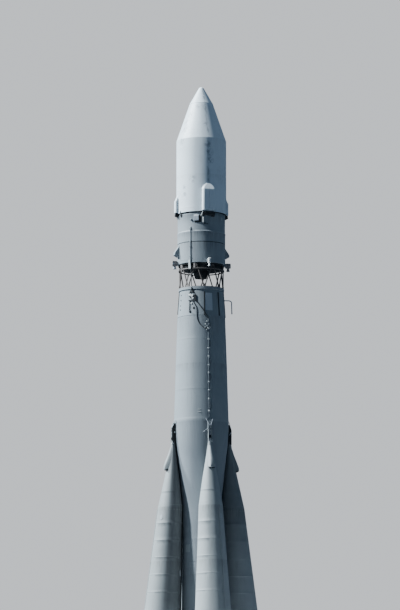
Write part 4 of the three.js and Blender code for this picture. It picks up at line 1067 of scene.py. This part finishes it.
# ------------------------------------------------------------------ fairing
W = FAIRING_WALL
shell = [(FAIRING_R - 0.070, FAIRING_Z0), (FAIRING_R - 0.006, FAIRING_Z0), (FAIRING_R, FAIRING_Z0 + 0.006), (FAIRING_R, 31.60), (FAIRING_R + 0.003, 31.61), (FAIRING_R + 0.003, 31.64), (FAIRING_R, 31.65), (FAIRING_R, 33.36)]
shell += [(FAIRING_R - 0.0022, 33.363), (FAIRING_R - 0.0022, 33.373), (FAIRING_R, 33.376)]
shell += [(FAIRING_R, 34.6), (FAIRING_R, FAIRING_Z1 - 0.03), (FAIRING_R - 0.003, FAIRING_Z1)]
for k in range(1, 9):
    t = k / 8
    shell.append((FAIRING_R + (CAP_R - FAIRING_R) * t + (0.0 if k < 8 else 0.0), FAIRING_Z1 + (CAP_Z - 0.012 - FAIRING_Z1) * t))
shell += [(CAP_R - 0.004, CAP_Z - 0.006), (CAP_R - 0.042, CAP_Z - 0.006), (FAIRING_R - W, FAIRING_Z1 - 0.008), (FAIRING_R - W, 34.0), (FAIRING_R - W, 32.6), (FAIRING_R - W, FAIRING_Z0 + 0.090), (FAIRING_R - 0.070, FAIRING_Z0 + 0.070)]
cap = [(CAP_R - 0.045, CAP_Z), (CAP_R - 0.004, CAP_Z), (CAP_R, CAP_Z + 0.004)]
centre = TOP_Z - CAP_TIP_R
edge = (CAP_TIP_R * math.sin(math.radians(61.8)), centre + CAP_TIP_R * math.cos(math.radians(61.8)))
for k in range(1, 7):
    t = k / 6
    cap.append((CAP_R + (edge[0] - CAP_R) * t, CAP_Z + 0.004 + (edge[1] - CAP_Z - 0.004) * t))
for deg in (54, 46, 38, 30, 22, 15, 9, 4, 0.6):
    cap.append((CAP_TIP_R * math.sin(math.radians(deg)), centre + CAP_TIP_R * math.cos(math.radians(deg))))
cap += [(0.003, TOP_Z - 0.05), (0.15, TOP_Z - 0.19)]


def half_turn(profile, side):
    """Half of a turned shell, pulled back SPLIT from the plane x = 0."""
    a0 = -90 if side == "right" else 90
    v, f = wedge_lathe(profile, a0, a0 + 180, 96)
    s = 1 if side == "right" else -1
    x = v[:, 0] * s
    v[:, 0] = np.where(x < SPLIT, SPLIT, x) * s
    return v, f


for side in ("left", "right"):
    body = f"fairing_{side}"
    make(f"fairing_half_{side}_skin", half_turn(shell, side), M["white"], body=body, replaces=[f"fairing_half_{side}"], angle=12)
    make(f"nose_cap_{side}_skin", half_turn(cap, side), M["white"], body=body, replaces=[f"nose_cap_{side}"], angle=24)
    # dark ring under each half's lower lip: painted shade
    make(f"fairing_{side}_lip_painted_shade", half_turn([(1.262, FAIRING_Z0 - 0.0045), (1.3235, FAIRING_Z0 - 0.0045), (1.3235, FAIRING_Z0 + 0.0004), (1.262, FAIRING_Z0 + 0.0004)], side), M["dark"], body=body, angle=30)
    s = 1 if side == "right" else -1
    # frames and stringers inside
    ins = []
    for z in (32.2, 33.1, 34.0, 34.9):
        v, f = wedge_lathe([(FAIRING_R - W - 0.045, z - 0.02), (FAIRING_R - W - 0.001, z - 0.02), (FAIRING_R - W - 0.001, z + 0.02), (FAIRING_R - W - 0.045, z + 0.02)], -88.5, 88.5, 60)
        if side == "left":
            v = v * np.array([-1, 1, 1]); f = [tuple(reversed(q)) for q in f]
        ins.append((v, f))
    for a in (-75, -50, -25, 0, 25, 50, 75):
        ins.append(turned(block(FAIRING_R - W - 0.030, FAIRING_R - W - 0.001, -0.012, 0.012, FAIRING_Z0 + 0.10, FAIRING_Z1 - 0.03), (90 if side == "right" else 270) + a))
    make(f"fairing_{side}_inner_frames", merged(ins), M["inner"], body=body)


def loft_box(sections, radius=0.11):
    """Closed shell through rectangles with rounded outer corners: (z, half width, inner x, outer x)."""
    vs, fs = [], []
    n = None
    for z, hw, xi, xo in sections:
        rad = min(radius, hw * 0.6, (xo - xi) * 0.72)
        ring = [(math.sqrt(max((FAIRING_R + GAP + 0.0007) ** 2 - y * y, 0)), y) for y in np.linspace(hw, -hw, 25)]
        ring = [(min(x, xo - 0.002), y) for x, y in ring]
        crisp = 0.04 * rad
        ring.append((xo - rad - crisp, -hw))
        for k in range(9):
            t = math.radians(90 * k / 8)
            ring.append((xo - rad + rad * math.sin(t), -hw + rad - rad * math.cos(t)))
        ring.append((xo, -hw + rad + crisp))
        ring.append((xo, hw - rad - crisp))
        for k in range(9):
            t = math.radians(90 * k / 8)
            ring.append((xo - rad + rad * math.cos(t), hw - rad + rad * math.sin(t)))
        ring.append((xo - rad - crisp, hw))
        n = len(ring)
        vs += [(x, y, z) for x, y in ring]
    for k in range(len(sections) - 1):
        for i in range(n):
            j = (i + 1) % n
            fs.append((k * n + i, k * n + j, (k + 1) * n + j, (k + 1) * n + i))
    fs.append(tuple(reversed(range(n))))
    fs.append(tuple(range((len(sections) - 1) * n, len(sections) * n)))
    return np.array(vs, float), fs


def cut_half(part, side):
    """The half of a part on one side of the plane x = 0, closed, pulled back SPLIT."""
    import bmesh
    bm = bmesh.new()
    vs = [bm.verts.new(tuple(v)) for v in part[0]]
    for f in part[1]:
        bm.faces.new([vs[i] for i in f])
    s = 1 if side == "right" else -1
    r = bmesh.ops.bisect_plane(bm, geom=bm.verts[:] + bm.edges[:] + bm.faces[:], plane_co=(s * SPLIT, 0, 0), plane_no=(s, 0, 0), clear_inner=True)
    edges = [e for e in r["geom_cut"] if isinstance(e, bmesh.types.BMEdge)]
    bmesh.ops.holes_fill(bm, edges=edges, sides=0)
    bm.verts.index_update()
    out = np.array([tuple(v.co) for v in bm.verts]), [tuple(v.index for v in f.verts) for f in bm.faces]
    bm.free()
    return out


for end, az in (("front", 0), ("back", 180)):
    secs = [(31.402, 0.350, 0, LOCK_R - 0.010), (31.414, 0.358, 0, LOCK_R), (31.9, 0.358, 0, LOCK_R), (32.520, 0.356, 0, LOCK_R), (32.545, 0.354, 0, LOCK_R - 0.004)]
    for k in range(1, 9):
        t = k / 8
        secs.append((32.545 + 0.312 * t, 0.354 - 0.20 * t * t, 0, LOCK_R - 0.004 + (1.346 - LOCK_R + 0.004) * t))
    cover = turned(loft_box(secs), az)
    for side in ("left", "right"):
        make(f"fairing_lock_{end}_{side}_cover", cut_half(cover, side), M["white"], body=f"fairing_{side}", replaces=[f"fairing_lock_{end}_{side}"], angle=21)
for side, az in (("left", 270), ("right", 90)):
    secs = [(31.424, 0.142, 0, 1.466), (31.434, 0.148, 0, 1.474), (32.052, 0.148, 0, 1.474), (32.072, 0.146, 0, 1.462), (32.12, 0.140, 0, 1.430), (32.20, 0.130, 0, 1.402), (32.30, 0.112, 0, 1.368), (32.355, 0.085, 0, 1.348)]
    make(f"fairing_hinge_{side}_cover", turned(loft_box(secs, 0.05), az), M["white"], body=f"fairing_{side}", replaces=[f"fairing_hinge_housing_{side}"], angle=21)

for side, az in (("left", 270), ("right", 90)):
    # dark strips along both sides of each hinge cover: painted shadow of the cover on the fairing
    gaps = [turned(block(FAIRING_R - 0.006, FAIRING_R + 0.005, y - 0.013, y + 0.013, 31.44, 32.16), az) for y in (-0.172, 0.172)]
    make(f"fairing_hinge_{side}_shadow_strips", merged(gaps), M["dark"], body=f"fairing_{side}", bevel=0.002)

# ------------------------------------------------------------------ floor, light, camera
me = bpy.data.meshes.new("floor")
FLOOR_R = 13.0
me.from_pydata([(FLOOR_R * math.cos(math.radians(3 * i)), FLOOR_R * math.sin(math.radians(3 * i)), 0) for i in range(120)], [], [tuple(range(120))])
floor = bpy.data.objects.new("floor", me)
fm = Nodes("floor_pale")
fm.bsdf.inputs["Base Color"].default_value = (0.74, 0.75, 0.76, 1)
fm.bsdf.inputs["Roughness"].default_value = 0.85
fm.bsdf.inputs["Specular IOR Level"].default_value = 0.1
me.materials.append(fm.mat)
bpy.context.scene.collection.objects.link(floor)

world = bpy.data.worlds.new("studio")
bpy.context.scene.world = world
world.use_nodes = True
wt = world.node_tree
wt.nodes.clear()
outw = wt.nodes.new("ShaderNodeOutputWorld")
seen = wt.nodes.new("ShaderNodeBackground")
seen.inputs["Color"].default_value = (0.80, 0.84, 0.88, 1)
seen.inputs["Strength"].default_value = 0.95
light = wt.nodes.new("ShaderNodeBackground")
light.inputs["Color"].default_value = (0.46, 0.69, 1.0, 1)
light.inputs["Strength"].default_value = 0.175
lp = wt.nodes.new("ShaderNodeLightPath")
mx = wt.nodes.new("ShaderNodeMixShader")
wt.links.new(lp.outputs["Is Camera Ray"], mx.inputs[0])
wt.links.new(light.outputs[0], mx.inputs[1])
wt.links.new(seen.outputs[0], mx.inputs[2])
wt.links.new(mx.outputs[0], outw.inputs["Surface"])

VIEW_AZ = 16.5


def sun(name, az_from_view, elevation, strength, angle, color):
    """az_from_view: degrees to the left of the camera's direction, seen from the rocket."""
    d = bpy.data.lights.new(name, "SUN")
    d.energy = strength
    d.angle = math.radians(angle)
    d.color = color
    o = bpy.data.objects.new(name, d)
    a = math.radians(VIEW_AZ + az_from_view)
    direction = Vector((-math.sin(a) * math.cos(math.radians(elevation)), -math.cos(a) * math.cos(math.radians(elevation)), math.sin(math.radians(elevation))))
    o.rotation_euler = direction.to_track_quat("Z", "Y").to_euler()
    bpy.context.scene.collection.objects.link(o)
    return o


sun("key_left", 76.5, 42, 7.6, 3, (0.84, 0.94, 1.0))
sun("key_behind_left", 105, 42, 8.6, 3, (0.82, 0.935, 1.0))
sun("rim_right", -118, 55, 0.20, 60, (0.55, 0.75, 1.0))

DIST, EYE, LENS_PX, PITCH = 164.0, 0.4, 3134.743, 9.0597
cam_data = bpy.data.cameras.new("camera")
cam_data.sensor_fit = "VERTICAL"
cam_data.sensor_height = 24.0
cam_data.sensor_width = 24.0 * 400 / 610
cam_data.lens = LENS_PX * 24.0 / 610
cam_data.clip_start = 1.0
cam_data.clip_end = 1000.0
cam = bpy.data.objects.new("camera", cam_data)
a = math.radians(VIEW_AZ)
cam.location = (-DIST * math.sin(a), -DIST * math.cos(a), EYE)
yaw = -a + math.atan(1.4 / LENS_PX)
cam.rotation_euler = (math.radians(90 + PITCH), 0, yaw)
bpy.context.scene.collection.objects.link(cam)
bpy.context.scene.camera = cam
